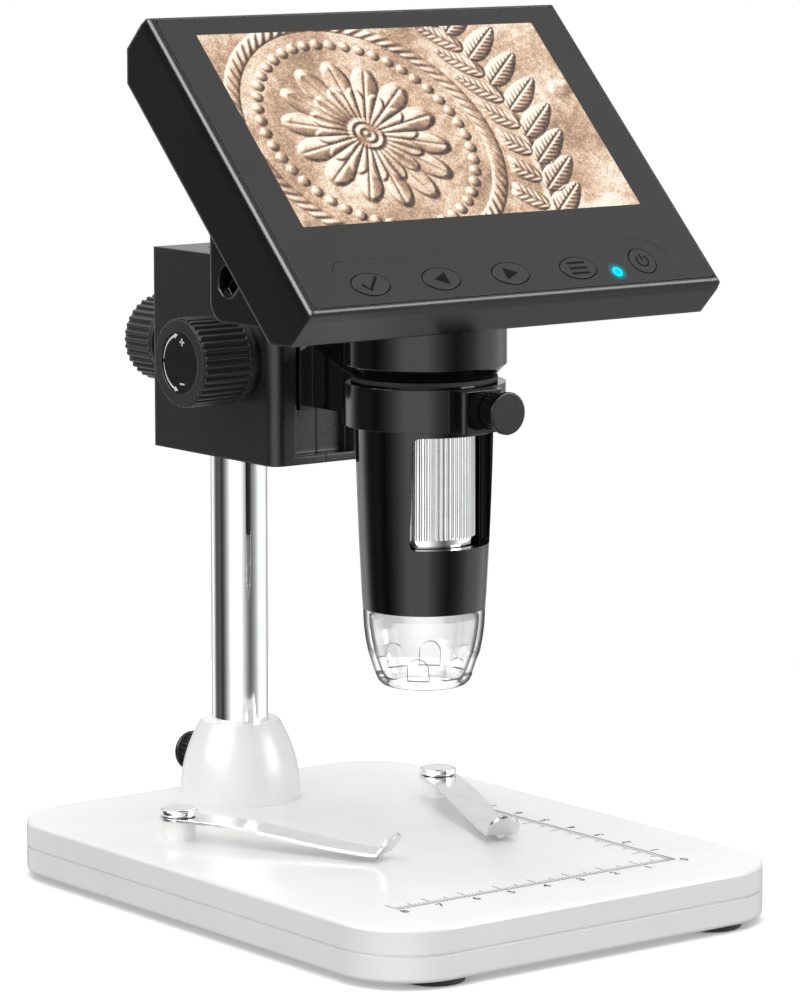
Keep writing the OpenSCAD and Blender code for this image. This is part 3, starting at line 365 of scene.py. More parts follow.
# Coated lens glass: faintly blue, perfectly smooth.
lens_glass = clear("coated_lens_glass", "#dfe8ee", (0.01, 0.02), 1.52)
# Diode lenses: a bright cyan dot, and a soft warm white.
lamp_cyan = glowing("diode_cyan", "#00d2f2", "#0adaf8", 1.6)
lamp_white = glowing("diode_white", "#fffaf0", "#fff5e4", 0.6)
clear_set = (clear_pc, lens_glass, lamp_cyan, lamp_white)
print("clear and lamps:", [material.name for material in clear_set])

# %% [markdown]
# ## Boards, battery and inks
# The circuit boards are glass fibre under lacquer, the battery is a foil pouch, and the marks are
# pad-printed ink. They are thin even coats, so the moulded recipe serves for them as well, with
# their own grain and gloss.

# %% Painted and printed finishes
# Lacquered boards: green or white, half gloss, with a faint grain of about a millimetre.
board = moulded("lacquered_board_green", "#123f22", "#174a29", (0.2, 0.3), grain_mm=1.2)
board_white = moulded("lacquered_board_white", "#f1f1ee", "#e8e8e4", (0.25, 0.35), grain_mm=1.0)
# Foil pouch: dull silver grey.
pouch = moulded("foil_pouch_grey", "#85898d", "#7a7e82", (0.3, 0.5), grain_mm=1.5)
# Printed inks: flat and dull. The black one mirrors least, so that the signs stay dark.
ink_grey = moulded("printed_ink_grey", "#6e6e6e", "#666666", (0.4, 0.5), edge_mm=0.02)
ink_dark = moulded("printed_ink_dark", "#262626", "#202020", (0.4, 0.5), edge_mm=0.02)
ink_black = moulded("printed_ink_black", "#040404", "#070707", (0.55, 0.65), edge_mm=0.02,
                    specular=0.12)
ink_white = moulded("printed_ink_white", "#e9e9e9", "#dfdfdf", (0.4, 0.5), edge_mm=0.02)
coat_set = (board, board_white, pouch, ink_grey, ink_dark, ink_black, ink_white)
print("coats:", [material.name for material in coat_set])

# %% [markdown]
# ## Finishes for the solids
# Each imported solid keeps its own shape, because it is the real piece's shape already. It could be
# dressed by hand, one at a time. One list is shorter: it says which finish each real piece has.

# %% Finish of each solid
FINISH = {
    white_abs: "base_top_cover base_bottom_cover pole_socket",
    rubber: "base_feet seat_ring",
    steel: "base_weight base_screws socket_cup socket_lock_screw height_screw focus_shaft "
           "ring_lock_screw",
    brass: "socket_insert shaft_bushes clamp_insert focus_pinion focus_rack ring_insert",
    spring: "clip_left clip_right",
    chrome: "pole clip_pins",
    trim_abs: "card_socket pole_cap socket_lock_knob knob_collars ring_lock_knob focus_dial_left "
              "focus_dial_right lens_carrier display_module",
    block_abs: "block_left_shell block_right_shell",
    arm_abs: "slide_arm barrel_collar",
    dark_steel: "block_screws head_screws",
    knob_abs: "height_knob focus_knob_left focus_knob_right",
    head_abs: "head_shell",
    barrel_abs: "barrel_shell",
    panel_film: "front_panel button_strip",
    key_abs: "key_ok key_left key_right key_menu key_power",
    lamp_cyan: "status_led",
    board: "button_board main_board sensor_board",
    board_white: "led_board",
    pouch: "battery",
    lamp_white: "led_lamps",
    clear_pc: "clear_shield",
    lens_glass: "objective_lens",
    aluminium: "focus_roller",
}
for material, names in FINISH.items():
    for node in names.split():
        slots = NODES[node].data.materials
        slots.clear()
        slots.append(material)
print("dressed", sum(len(names.split()) for names in FINISH.values()), "of", len(NODES), "solids")

# %% [markdown]
# ## Helpers for new surfaces
# The printed marks and the picture are new pieces. Each could be built by moving points in edit
# mode, or from Blender's own primitives. Here it is worked out as whole arrays of points and faces
# and handed over in one go, because its sizes are then plain numbers. Its object stays at the
# origin and its place is in its points.

# %% From arrays to a piece
def piece(name, points, faces, body, material):
    """points is (n, 3) in metres; faces is a list of index rows, or an array of them."""
    mesh = bpy.data.meshes.new(name)
    mesh.from_pydata(np.asarray(points).tolist(), [], [list(map(int, face)) for face in faces])
    mesh.materials.append(material)
    thing = bpy.data.objects.new(name, mesh)
    bpy.context.scene.collection.objects.link(thing)
    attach(thing, body)
    return thing


def disc(x, y, radius, count):
    """A circle of points about x, y."""
    turn = np.linspace(0, 2 * math.pi, count, endpoint=False)
    return np.c_[x + np.cos(turn) * radius, y + np.sin(turn) * radius]


def bar(u0, v0, u1, v1):
    """An upright rectangle between two of its corners."""
    return np.array([[u0, v0], [u1, v0], [u1, v1], [u0, v1]], float)


def prisms(outlines, low, high):
    """Upright prisms from flat outlines: points (x, y) repeated at two heights, a cap above, a cap
    below and one side face per edge. An outline whose area comes out negative runs clockwise and
    is turned round first, so that all faces point outwards. Returns points (n, 3) and faces."""
    points, faces, start = [], [], 0
    for outline in outlines:
        n = len(outline)
        x, y = outline[:, 0], outline[:, 1]
        if np.sum(x * np.roll(y, -1) - np.roll(x, -1) * y) < 0:
            outline = outline[::-1]
        points += [np.c_[outline, np.full(n, low)], np.c_[outline, np.full(n, high)]]
        around = start + np.arange(n)
        after = np.roll(around, -1)
        faces += [around[::-1], n + around]
        faces += list(np.stack([around, after, after + n, around + n], 1))
        start += 2 * n
    return np.concatenate(points), faces


# %% [markdown]
# ## The rulers on the stage
# Two millimetre rulers start at one corner of the stage. On the real plate they are pad-printed in
# grey ink a few hundredths of a millimetre thick. An image of the ruler could be laid on the stage,
# but it would blur close by. Each mark is a thin flat bar instead, sharp at any distance.

# %% Ruler marks
CORNER = (38.5, -58.0)
INK, SUNK = 0.03, 0.01
LINE, RAIL = 0.28, 0.3
LONG, MIDDLE, SHORT = 4.4, 2.9, 1.6
FRONT_MM, SIDE_MM = 80, 78


def ruler(count_mm):
    """Marks along +u from 0: a base line, and one bar per millimetre whose length depends on
    whether its place divides by ten, by five, or neither."""
    place = np.arange(count_mm + 1, dtype=float)
    length = np.where(place % 10 == 0, LONG, np.where(place % 5 == 0, MIDDLE, SHORT))
    half = LINE / 2
    marks = [bar(at - half, 0, at + half, reach) for at, reach in zip(place, length)]
    return marks + [bar(-half, -RAIL, count_mm + half, 0)]


# The front ruler runs to the left and its marks point back; the side one runs back and its marks
# point left.
front_bars = [np.c_[CORNER[0] - b[:, 0], CORNER[1] + b[:, 1]] for b in ruler(FRONT_MM)]
side_bars = [np.c_[CORNER[0] - b[:, 1], CORNER[1] + b[:, 0]] for b in ruler(SIDE_MM)]
for name, bars in (("ruler_front", front_bars), ("ruler_side", side_bars)):
    points, faces = prisms(bars, STAGE_Z - SUNK, STAGE_Z + INK)
    piece(name, on_stage(points), faces, "base", ink_grey)
print("ruler marks:", len(front_bars) - 1, "and", len(side_bars) - 1)

# %% [markdown]
# ## The figures on the stage
# The figures count centimetres from the shared corner, outside the lines. A text object would
# show them, but a piece has to be a mesh. Blender's own font is therefore filled, read back as
# flat faces, and given the same thickness as the lines.

# %% Ruler figures
FIGURE_MM, FIGURE_BOLD = 3.3, 0.07
AWAY, CORNER_AWAY = 2.6, 1.6


def glyph_faces(text):
    """The flat faces of a line of text about the origin: points (n, 2) and rows of indices."""
    curve = bpy.data.curves.new("figures", "FONT")
    curve.body, curve.size, curve.offset = text, FIGURE_MM, FIGURE_BOLD
    curve.align_x = curve.align_y = "CENTER"
    thing = bpy.data.objects.new("figures", curve)
    bpy.context.scene.collection.objects.link(thing)
    bpy.context.view_layer.update()
    mesh = bpy.data.meshes.new_from_object(thing)
    points = np.zeros(len(mesh.vertices) * 3)
    mesh.vertices.foreach_get("co", points)
    faces = [list(polygon.vertices) for polygon in mesh.polygons]
    bpy.data.objects.remove(thing)
    bpy.data.curves.remove(curve)
    bpy.data.meshes.remove(mesh)
    return points.reshape(-1, 3)[:, :2], faces


def figures_on_stage(name, marks):
    """marks is a list of (text, x, y, turn in degrees). The faces are turned, moved and repeated
    below; an edge that no neighbour runs back along is on the rim, and gets a side face."""
    points, faces, start = [], [], 0
    for text, x, y, turn in marks:
        flat, caps = glyph_faces(text)
        c, s = math.cos(math.radians(turn)), math.sin(math.radians(turn))
        flat = flat @ np.array([[c, s], [-s, c]]) + [x, y]
        n = len(flat)
        points += [np.c_[flat, np.full(n, STAGE_Z + INK)], np.c_[flat, np.full(n, STAGE_Z - SUNK)]]
        faces += [[start + i for i in cap] for cap in caps]
        faces += [[start + n + i for i in cap[::-1]] for cap in caps]
        edges = {(a, b): None for cap in caps for a, b in zip(cap, cap[1:] + cap[:1])}
        rim = [(start + a, start + b) for a, b in edges if (b, a) not in edges]
        faces += [[b, a, a + n, b + n] for a, b in rim]
        start += 2 * n
    piece(name, on_stage(np.concatenate(points)), faces, "base", ink_dark)


figures = [(str(k), CORNER[0] - 10 * k, CORNER[1] - AWAY, 0) for k in range(1, 9)]
figures += [(str(k), CORNER[0] + AWAY, CORNER[1] + 10 * k, 90) for k in range(1, 8)]
figures += [("0", CORNER[0] + CORNER_AWAY, CORNER[1] - CORNER_AWAY, 0)]
figures_on_stage("ruler_figures", figures)
print("figures:", len(figures))

# %% [markdown]
# ## The picture on the screen
# The screen shows the specimen, much enlarged: copper relief with strong side light. An image
# could fill it, but this picture is worked out and not stored. A height is added up from a
# rosette, a ring of beads, a rope border and a spray of leaves; its slope against a low lamp gives
# the light, and a copper ramp gives the colour. Each grid point keeps its colour as an attribute.

# %% Parts of the relief
VIEW_W, VIEW_H, VIEW_V = 96.2, 56.6, 8.9
COLUMNS, ROWS = 384, 226
LATTICE, LATTICE_START = 256, 90
PETALS = 14
print("picture cell:", round(VIEW_W / (COLUMNS - 1), 3), "mm")


def smooth_noise(x, y, cell, seed):
    """Value noise: random heights on a lattice of the given cell, blended by a smooth step. The
    lattice starts LATTICE_START cells away, so that no point has a negative place in it."""
    lattice = np.random.default_rng(seed).random((LATTICE, LATTICE))
    fx, fy = x / cell + LATTICE_START, y / cell + LATTICE_START
    ix, iy = np.floor(fx).astype(int), np.floor(fy).astype(int)
    tx, ty = fx - ix, fy - iy
    tx, ty = tx * tx * (3 - 2 * tx), ty * ty * (3 - 2 * ty)
    below, above = [[lattice[(ix + a) % LATTICE, (iy + b) % LATTICE] for a in (0, 1)]
                    for b in (0, 1)]
    low = below[0] * (1 - tx) + below[1] * tx
    return low * (1 - ty) + (above[0] * (1 - tx) + above[1] * tx) * ty


def step(value, low, high):
    """0 below low, 1 above high and a smooth rise between."""
    t = np.clip((value - low) / (high - low), 0, 1)
    return t * t * (3 - 2 * t)


def petals(radius, angle, inner, outer, swell, turn):
    """A ring of petals: a round ridge across each sector, which rises from the inner radius and
    ends in a round tip at the outer one, with a fold down its middle."""
    sector = (angle / (2 * math.pi) * PETALS + turn) % 1 - 0.5
    reach = (radius - inner) / (outer - inner)
    tip = 1 - (2 * np.abs(sector)) ** 2.2 * 0.35
    body = np.clip(1 - (2 * np.abs(sector)) ** 2, 0, 1) ** 0.6
    fold = 0.22 * np.exp(-(sector / 0.05) ** 2)
    end = 1 - step(reach, tip - 0.12, tip)
    return swell * np.clip(body - fold, 0, 1) * step(reach, -0.15, 0.25) * end


def leaf(x, y, foot_x, foot_y, turn, length, width):
    """One leaf: a pointed oval ridge with a sunk midrib and slanting side veins."""
    c, s = math.cos(turn), math.sin(turn)
    a = (x - foot_x) * c + (y - foot_y) * s
    b = (y - foot_y) * c - (x - foot_x) * s
    along = a / length
    oval = np.sqrt(np.clip(1 - (2 * along - 1) ** 2, 0, 1))
    across = np.abs(b) / (width * oval * (1.15 - 0.55 * along) + 1e-6)
    inside = (along > 0) & (along < 1) & (across < 1)
    ridge = np.where(inside, (1 - across ** 2) ** 0.5, 0)
    veins = 0.12 * np.cos((a - np.abs(b) * 0.9) * 2 * math.pi / 1.7)
    return ridge * (1 + veins) - np.where(inside, 0.45 * np.exp(-(b / 0.28) ** 2), 0)


# %% Height of the whole relief
ROSETTE = (-17.0, -3.0)
# Petal rings: inner and outer radius, height, and turn in petals.
PETAL_RINGS = [(5, 22, 1.9, 0.0), (4, 14.5, 1.3, 0.5)]
BEADS, BEAD_RING, BEAD = 46, 27, 1.45
ROPE_RING, ROPE, TWISTS = 33.2, 1.9, 70
STEM_X, STEM_FOOT, LEAF_COUNT, LEAF_GAP, LEAF_SWELL = 22, -30, 9, 8, 1.7
# The two leaves of a pair: rise along the stem, turn in degrees, length and width.
LEAF_PAIR = [(0, 38, 15, 3.4), (3, 142, 13, 3.2)]
grid_u, grid_v = np.meshgrid(np.linspace(-VIEW_W / 2, VIEW_W / 2, COLUMNS),
                             np.linspace(-VIEW_H / 2, VIEW_H / 2, ROWS), indexing="ij")


def stem(y):
    """The stem's x at height y: a slow wave."""
    return STEM_X + 5 * np.sin((y - STEM_FOOT) / 17)


def relief(x, y):
    """Height in mm of the enlarged relief at screen points x, y: uneven ground, two rings of
    petals, a ringed button, beads, a twisted rope, the spray outside it and one worn patch."""
    dx, dy = x - ROSETTE[0], y - ROSETTE[1]
    radius, angle = np.hypot(dx, dy), np.arctan2(dy, dx)
    height = 2.6 * smooth_noise(x, y, 12, 1) + 0.20 * smooth_noise(x, y, 2.2, 2)
    for ring in PETAL_RINGS:
        height += petals(radius, angle, *ring)
    height += 1.4 * step(5.2 - radius, 0, 1.6) + 0.35 * np.cos(radius * 3.2) * (radius < 4.5)
    bead = (angle / (2 * math.pi) * BEADS) % 1 - 0.5
    away = np.hypot(bead * 2 * math.pi * BEAD_RING / BEADS, radius - BEAD_RING)
    height += 1.2 * np.sqrt(np.clip(1 - (away / BEAD) ** 2, 0, 1))
    rope = np.clip(1 - ((radius - ROPE_RING) / ROPE) ** 2, 0, 1) ** 0.5
    height += rope * (1.0 + 0.35 * np.sin(angle * TWISTS + (radius - ROPE_RING) * 2.2))
    outside = step(radius, 36, 38)
    height += outside * 0.9 * np.exp(-((x - stem(y)) / 0.9) ** 2)
    for foot in STEM_FOOT + LEAF_GAP * np.arange(LEAF_COUNT):
        for rise, turn, *size in LEAF_PAIR:
            one = leaf(x, y, stem(foot), foot + rise, math.radians(turn), *size)
            height += outside * LEAF_SWELL * one
    worn = step(np.hypot(x - 44, y - 10), 6, 3)
    height += 0.5 * step(smooth_noise(x, y, 5.5, 5), 0.55, 0.8) * worn
    return height


relief_height = relief(grid_u, grid_v)
print("relief from", round(float(relief_height.min()), 2), "to",
      round(float(relief_height.max()), 2), "mm")

# %% [markdown]
# ## Light and copper on the relief
# A lamp in the scene can't light a picture that has no depth. The light is worked out once from
# the slopes, and then spread over the copper tones so that each has its share of the picture.

# %% Light on the relief, and its copper colour
rng = np.random.default_rng(7)
LAMP_WAY = np.array([-0.50, 0.62, 0.60])
GLINT_WAY = np.array([-0.25, 0.42, 0.87])
LIGHT, GLINT, WORN = 0.78, 0.34, 0.14
SCRATCH, SPECKLE = 0.22, 0.05
UP = 1.05
SHARE = [0, 0.01, 0.05, 0.10, 0.25, 0.50, 0.75, 0.90, 0.97, 1]
LEVEL = [0.05, 0.13, 0.25, 0.36, 0.54, 0.72, 0.87, 0.97, 1, 1]
COPPER = [(0.05, "#24150f"), (0.24, "#4f3b2f"), (0.39, "#7a604f"), (0.55, "#a8866c"),
          (0.71, "#d1ac8e"), (0.85, "#f1d2b4"), (0.97, "#fef8ea")]
print("copper tones:", len(COPPER))


def copper_picture(x, y, height):
    """The normal is minus the two slopes and UP, scratched by noise. Its cosine to a low lamp
    gives the light, and a tight power of another the glints. The sum is spread until SHARE of the
    points lie below each LEVEL, which picks the copper tone: a quarter of them is near white."""
    slope_u, slope_v = np.gradient(height, x[1, 0] - x[0, 0], y[0, 1] - y[0, 0])
    scratch = SCRATCH * (rng.random(height.shape) - 0.5)
    up = np.full_like(height, UP)
    normal = np.stack([-slope_u - scratch, -slope_v + scratch, up], -1)
    normal /= np.linalg.norm(normal, axis=-1, keepdims=True)
    light = np.clip(normal @ LAMP_WAY / np.linalg.norm(LAMP_WAY), 0, 1)
    glint = np.clip(normal @ GLINT_WAY, 0, 1) ** 18
    worn = smooth_noise(x, y, 0.7, 9) - 0.5
    speckle = SPECKLE * (rng.random(height.shape) - 0.5)
    value = LIGHT * light + GLINT * glint + WORN * worn + speckle
    value = np.interp(value, np.quantile(value, SHARE), LEVEL)
    stops, tones = zip(*[(stop, linear(code)[:3]) for stop, code in COPPER])
    return np.stack([np.interp(value, stops, tone) for tone in zip(*tones)], -1)


def lit_screen():
    """A liquid-crystal screen: the picture glows by itself under a thin glossy glass."""
    material, tree = blank("liquid_crystal_screen_lit")
    picture = add(tree, "Attribute", attribute_name="picture",
                  attribute_type="GEOMETRY").outputs["Color"]
    shader = add(tree, "BsdfPrincipled", {"Base Color": linear("#0a0a0a"), "Roughness": 0.12,
                                          "Emission Color": picture, "Emission Strength": 1.0})
    add(tree, "OutputMaterial", {"Surface": shader.outputs["BSDF"]})
    return material


# %% The picture as a grid
# The grid lies 0.085 mm under the front panel's face, just over the display.
PICTURE_W = -0.085


def make_picture():
    """A flat grid just over the glass, one quad per cell, with the colour on its points."""
    flat = np.stack([grid_u, grid_v + VIEW_V, np.full_like(grid_u, PICTURE_W)], -1)
    index = np.arange(COLUMNS * ROWS).reshape(COLUMNS, ROWS)
    faces = np.stack([index[:-1, :-1], index[1:, :-1], index[1:, 1:], index[:-1, 1:]], -1)
    thing = piece("screen_picture", on_screen(flat).reshape(-1, 3), faces.reshape(-1, 4), "head",
                  lit_screen())
    colours = np.ones((COLUMNS * ROWS, 4))
    colours[:, :3] = copper_picture(grid_u, grid_v, relief_height).reshape(-1, 3)
    attribute = thing.data.color_attributes.new("picture", "FLOAT_COLOR", "POINT")
    attribute.data.foreach_set("color", colours.ravel())


make_picture()
print("picture:", COLUMNS, "by", ROWS, "points")

# %% [markdown]
# ## Glow round the status lamp
# The lit diode also lights the grey film round it. A real light there would add noise to the whole
# render for so small a spot. A thin clear disc that glows by itself does the same.

# %% Glow round the lamp
LAMP, GLOW_R = (30.0, -38.4), 2.9
GLOW_LOW, GLOW_HIGH = 0.01, 0.03


def halo_film(centre, radius):
    """Light that spreads in the grey film round the lamp: clear, with a glow that falls off with
    the square of the distance from the lamp's middle."""
    material, tree = blank("film_lit_by_diode")
    where = add(tree, "TexCoord").outputs["Object"]
    away = add(tree, "VectorMath", {0: where, 1: tuple(centre)},
               operation="DISTANCE").outputs["Value"]
    near = add(tree, "MapRange", {"Value": away, "From Min": radius,
                                  "From Max": 0.0}).outputs["Result"]
    fade = add(tree, "Math", {0: near, 1: 2.0}, operation="POWER").outputs["Value"]
    glow = add(tree, "Emission", {"Color": linear("#12c8e6"), "Strength": 1.1}).outputs["Emission"]
    film = add(tree, "BsdfTransparent").outputs["BSDF"]
    mix = add(tree, "MixShader", {0: fade, 1: film, 2: glow}).outputs["Shader"]
    add(tree, "OutputMaterial", {"Surface": mix})
    return material


middle = on_screen([*LAMP, (GLOW_LOW + GLOW_HIGH) / 2])
points, faces = prisms([disc(*LAMP, GLOW_R, 40)], GLOW_LOW, GLOW_HIGH)
piece("lamp_glow", on_screen(points), faces, "head", halo_film(middle, GLOW_R * MM))
print("glow:", GLOW_R, "mm round the lamp")

# %% [markdown]
# ## Signs on the keys
# The keys carry plain signs: a tick, two triangles, three bars and the usual power ring. On the
# real keys they are printed or sunk. They could be cut into the solids, but so fine a cut hardly
# shows. They are thin pads of ink on the key tops, and each moves with its key.

# %% Signs on the keys
KEY_X, KEY_V = [-38.95, -19.45, 0.05, 19.55], -36.5
POWER = (38.8, -35.9)
SIGN_LOW, SIGN_HIGH = 0.05, 0.14


def stroke(path, width):
    """A band of constant width along a path of points: each point is moved half the width to
    both sides, along the mean normal of its two edges."""
    path = np.asarray(path, float)
    tangent = np.gradient(path, axis=0)
    tangent /= np.linalg.norm(tangent, axis=1, keepdims=True)
    normal = np.c_[-tangent[:, 1], tangent[:, 0]] * width / 2
    return np.concatenate([path + normal, (path - normal)[::-1]])


def arc(radius, start, end, count):
    """Points on a circle about the origin, from one angle to the other, in degrees."""
    turn = np.radians(np.linspace(start, end, count))
    return np.c_[np.cos(turn), np.sin(turn)] * radius


triangle = np.array([[-1.6, 1.75], [2.0, 0], [-1.6, -1.75]])
SIGNS = {
    "ok": [stroke([[-2.3, 0.1], [-0.7, -1.6], [2.4, 2.0]], 0.75)],
    "left": [triangle * [-1, 1]],
    "right": [triangle],
    "menu": [bar(-2.5, y - 0.3, 2.5, y + 0.3) for y in (-1.5, 0, 1.5)],
    "power": [stroke(arc(1.55, 125, 415, 33), 0.42), bar(-0.2, 0.2, 0.2, 2.1)],
}
PLACES = dict(zip(SIGNS, [(x, KEY_V) for x in KEY_X] + [POWER]))
for name, outlines in SIGNS.items():
    points, faces = prisms([outline + PLACES[name] for outline in outlines], SIGN_LOW, SIGN_HIGH)
    piece("sign_" + name, on_screen(points), faces, name + "_key", ink_black)
print("key signs:", list(SIGNS))

# %% [markdown]
# ## Rubber in the gaps, as painted shade
# Under each key lies a black rubber mat, which also fills the gap round the key. From outside the
# gap is a dark line round the key, dark mostly from the shade in it. The whole mat could be built,
# but nothing else of it is ever seen, so here it is a thin ring of near-black rubber low in each
# gap, which also paints that shade in.

# %% Rubber in the gaps round the keys: painted shade
WIDE_R, WIDE_DROP = 6.86, 3.84
END_R, END_SHIFT = 2.06, 2.88
POWER_R = 3.43
RING_IN, RING_OUT = 0.03, 0.28
RING_LOW, RING_HIGH = -0.75, -0.3


def oval(grow):
    """The oval of a key, grown outwards: two wide arcs and two end arcs that run into each other
    where a 3-4-5 triangle gives both the same direction."""
    bend = math.degrees(math.atan2(4, 3))
    wide = arc(WIDE_R + grow, bend, 180 - bend, 24) - [0, WIDE_DROP]
    end = arc(END_R + grow, 180 - bend, 180 + bend, 24)[1:-1] - [END_SHIFT, 0]
    half = np.concatenate([wide, end])
    return np.concatenate([half, -half])


def gap_ring(outline, place):
    """A closed ring between two outlines with the same number of points: four rows of points, and
    one band of faces from each row to the next."""
    outer, inner = outline(RING_OUT) + place, outline(RING_IN) + place
    n = len(outer)
    rows = [(outer, RING_LOW), (inner, RING_LOW), (outer, RING_HIGH), (inner, RING_HIGH)]
    points = np.concatenate([np.c_[flat, np.full(n, w)] for flat, w in rows])
    i = np.arange(n)
    j = (i + 1) % n
    faces = [[i, j, j + 2 * n, i + 2 * n], [j + n, i + n, i + 3 * n, j + 3 * n],
             [i + 2 * n, j + 2 * n, j + 3 * n, i + 3 * n], [j, i, i + n, j + n]]
    return points, np.concatenate([np.stack(band, 1) for band in faces])


def power_round(grow):
    """The round outline of the power key, grown outwards."""
    return arc(POWER_R + grow, 0, 360, 65)[:-1]


# Each ring is near-black rubber that stands for the key mat and paints the shade in the gap.
for name, place in PLACES.items():
    points, faces = gap_ring(power_round if name == "power" else oval, place)
    piece("mat_gap_shade_" + name, on_screen(points), faces, "head", gap_shade)
print("rubber rings:", len(PLACES))

# %% [markdown]
# ## Marks on the focus knobs
# Each focus knob has an arc with an arrow head at each end, and a plus and a minus for the two
# ways, printed in white. As on the stage, they are thin flat pieces, which stay sharp close by and
# turn with the knob.

# %% Arc and signs on the focus knobs
KNOB_Y, KNOB_Z, KNOB_FACE = 38.4, 124.0, 31.3
ARC_R, ARC_THIN, ARC_WIDE, ARROW = 6.5, 0.14, 0.55, 1.3
DIAL_SUNK, DIAL_HIGH = 0.01, 0.05


def on_knob(points, side):
    """Dial points (u, v, w in mm) to metres: u runs towards the front on the left knob, v up and
    w outwards; the right knob mirrors it in X and turns u over, so the signs still read."""
    u, v, w = np.moveaxis(np.asarray(points, float), -1, 0)
    x = side * (KNOB_FACE + w)
    return np.stack([x, KNOB_Y + SHIFT_Y + side * u, KNOB_Z + v], -1) * MM


def arrow(start, end):
    """A curved arrow as one outline: a band round the centre whose width grows from thin to wide,
    and a head at its end, as wide as it is long."""
    turn = np.radians(np.linspace(start, end, 25))
    half = np.linspace(ARC_THIN, ARC_WIDE, 25)[:, None] / 2
    out = np.c_[np.cos(turn), np.sin(turn)]
    last = out[-1]
    along = np.array([-last[1], last[0]]) * np.sign(end - start)
    tip = [last * (ARC_R + ARROW / 2), last * ARC_R + along * ARROW, last * (ARC_R - ARROW / 2)]
    return np.concatenate([out * (ARC_R + half), tip, (out * (ARC_R - half))[::-1]])


dash = bar(-0.9, -0.2, 0.9, 0.2)
dial = [arrow(176, 108), arrow(184, 252)]
dial += [dash + [0.9, 4.9], dash[:, ::-1] + [0.9, 4.9], dash + [0.9, -4.9]]
points, faces = prisms(dial, -DIAL_SUNK, DIAL_HIGH)
for label, side in (("left", -1), ("right", 1)):
    piece("dial_mark_" + label, on_knob(points, side), faces, "focus_drive", ink_white)
print("dial marks on both knobs")

# %% [markdown]
# ## Floor
# The floor is a small white table that meets the white wall without a line. A large plane would
# show its far edge and light the object from below. The table has a little light of its own, so
# that it stays as white as the wall, and only the object's soft shadow shows on it.

# %% Floor
TABLE_R = 0.30
FLOOR_GLOW = 0.12
FIBRE_MM = 2


def paper():
    """White card: fine fibre in two whites, dull, with a little light of its own."""
    material, tree = blank("white_card")
    where = add(tree, "TexCoord").outputs["Object"]
    fibre = add(tree, "TexNoise", {"Vector": where, "Scale": 1 / (FIBRE_MM * MM),
                                   "Detail": 2.0}).outputs["Fac"]
    tone = add(tree, "ValToRGB", {"Fac": fibre},
               [(LOW, linear("#fbfbfb")), (HIGH, linear("#ffffff"))]).outputs["Color"]
    shader = add(tree, "BsdfPrincipled", {"Base Color": tone, "Roughness": 0.9,
                                          "Specular IOR Level": 0.1,
                                          "Emission Color": linear("#ffffff"),
                                          "Emission Strength": FLOOR_GLOW})
    add(tree, "OutputMaterial", {"Surface": shader.outputs["BSDF"]})
    return material


def make_table():
    """A flat disc: points on a circle about the middle, as one face. It is not part of the
    object, and neither lights nor mirrors in it."""
    rim = disc(0, 0, TABLE_R, 96)
    mesh = bpy.data.meshes.new("table")
    mesh.from_pydata(np.c_[rim, np.zeros(len(rim))].tolist(), [], [list(range(len(rim)))])
    mesh.materials.append(paper())
    table = bpy.data.objects.new("table", mesh)
    bpy.context.scene.collection.objects.link(table)
    table.visible_glossy = table.visible_diffuse = False
    table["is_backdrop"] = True


make_table()
print("table:", 2 * TABLE_R, "m across")

# %% [markdown]
# ## Studio
# Black plastic and chrome show the room more than themselves, so the room is what gives them
# their form: bright beside the camera and to the right, bright overhead, and dark gaps between
# them. A measured panorama could be wrapped round the scene. The room is painted instead, as a
# function of direction, so that each bright or dark band can be moved on its own. The camera
# itself sees a plain white wall.

# %% Brightness of the room
# Brightness against the angle from the camera's side, in degrees, positive to the right.
DOME = [(-180, .85), (-167, .7), (-158, .3), (-148, .7), (-138, 1.1), (-128, 1.1), (-118, .45),
        (-110, .14), (-100, .08), (-88, .12), (-72, .03), (-60, .18), (-48, .55), (-38, 1.0),
        (-28, 1.5), (4, 1.5), (14, .95), (23, .6), (33, .3), (44, .12), (54, .2), (64, .35),
        (74, .6), (83, 1.0), (90, 1.12), (130, 1.12), (142, .7), (155, .3), (165, .7), (180, .85)]
OVERHEAD, BELOW, BELOW_SEEN = 0.85, 0.25, 0.55
UP_FROM, UP_TO, DOWN_FROM, DOWN_TO = 0.30, 0.60, -0.35, -0.55
DOME_TOP = 5.0
RIGHT = np.array([math.cos(YAW), -math.sin(YAW), 0])
BACK = np.array([-math.sin(YAW), -math.cos(YAW), 0])
print("dome:", len(DOME), "brightness steps")


# %% Studio dome
def grey(level):
    """A brightness as a colour. A ramp holds none above 1, so each is a share of DOME_TOP."""
    return (level / DOME_TOP,) * 3 + (1,)


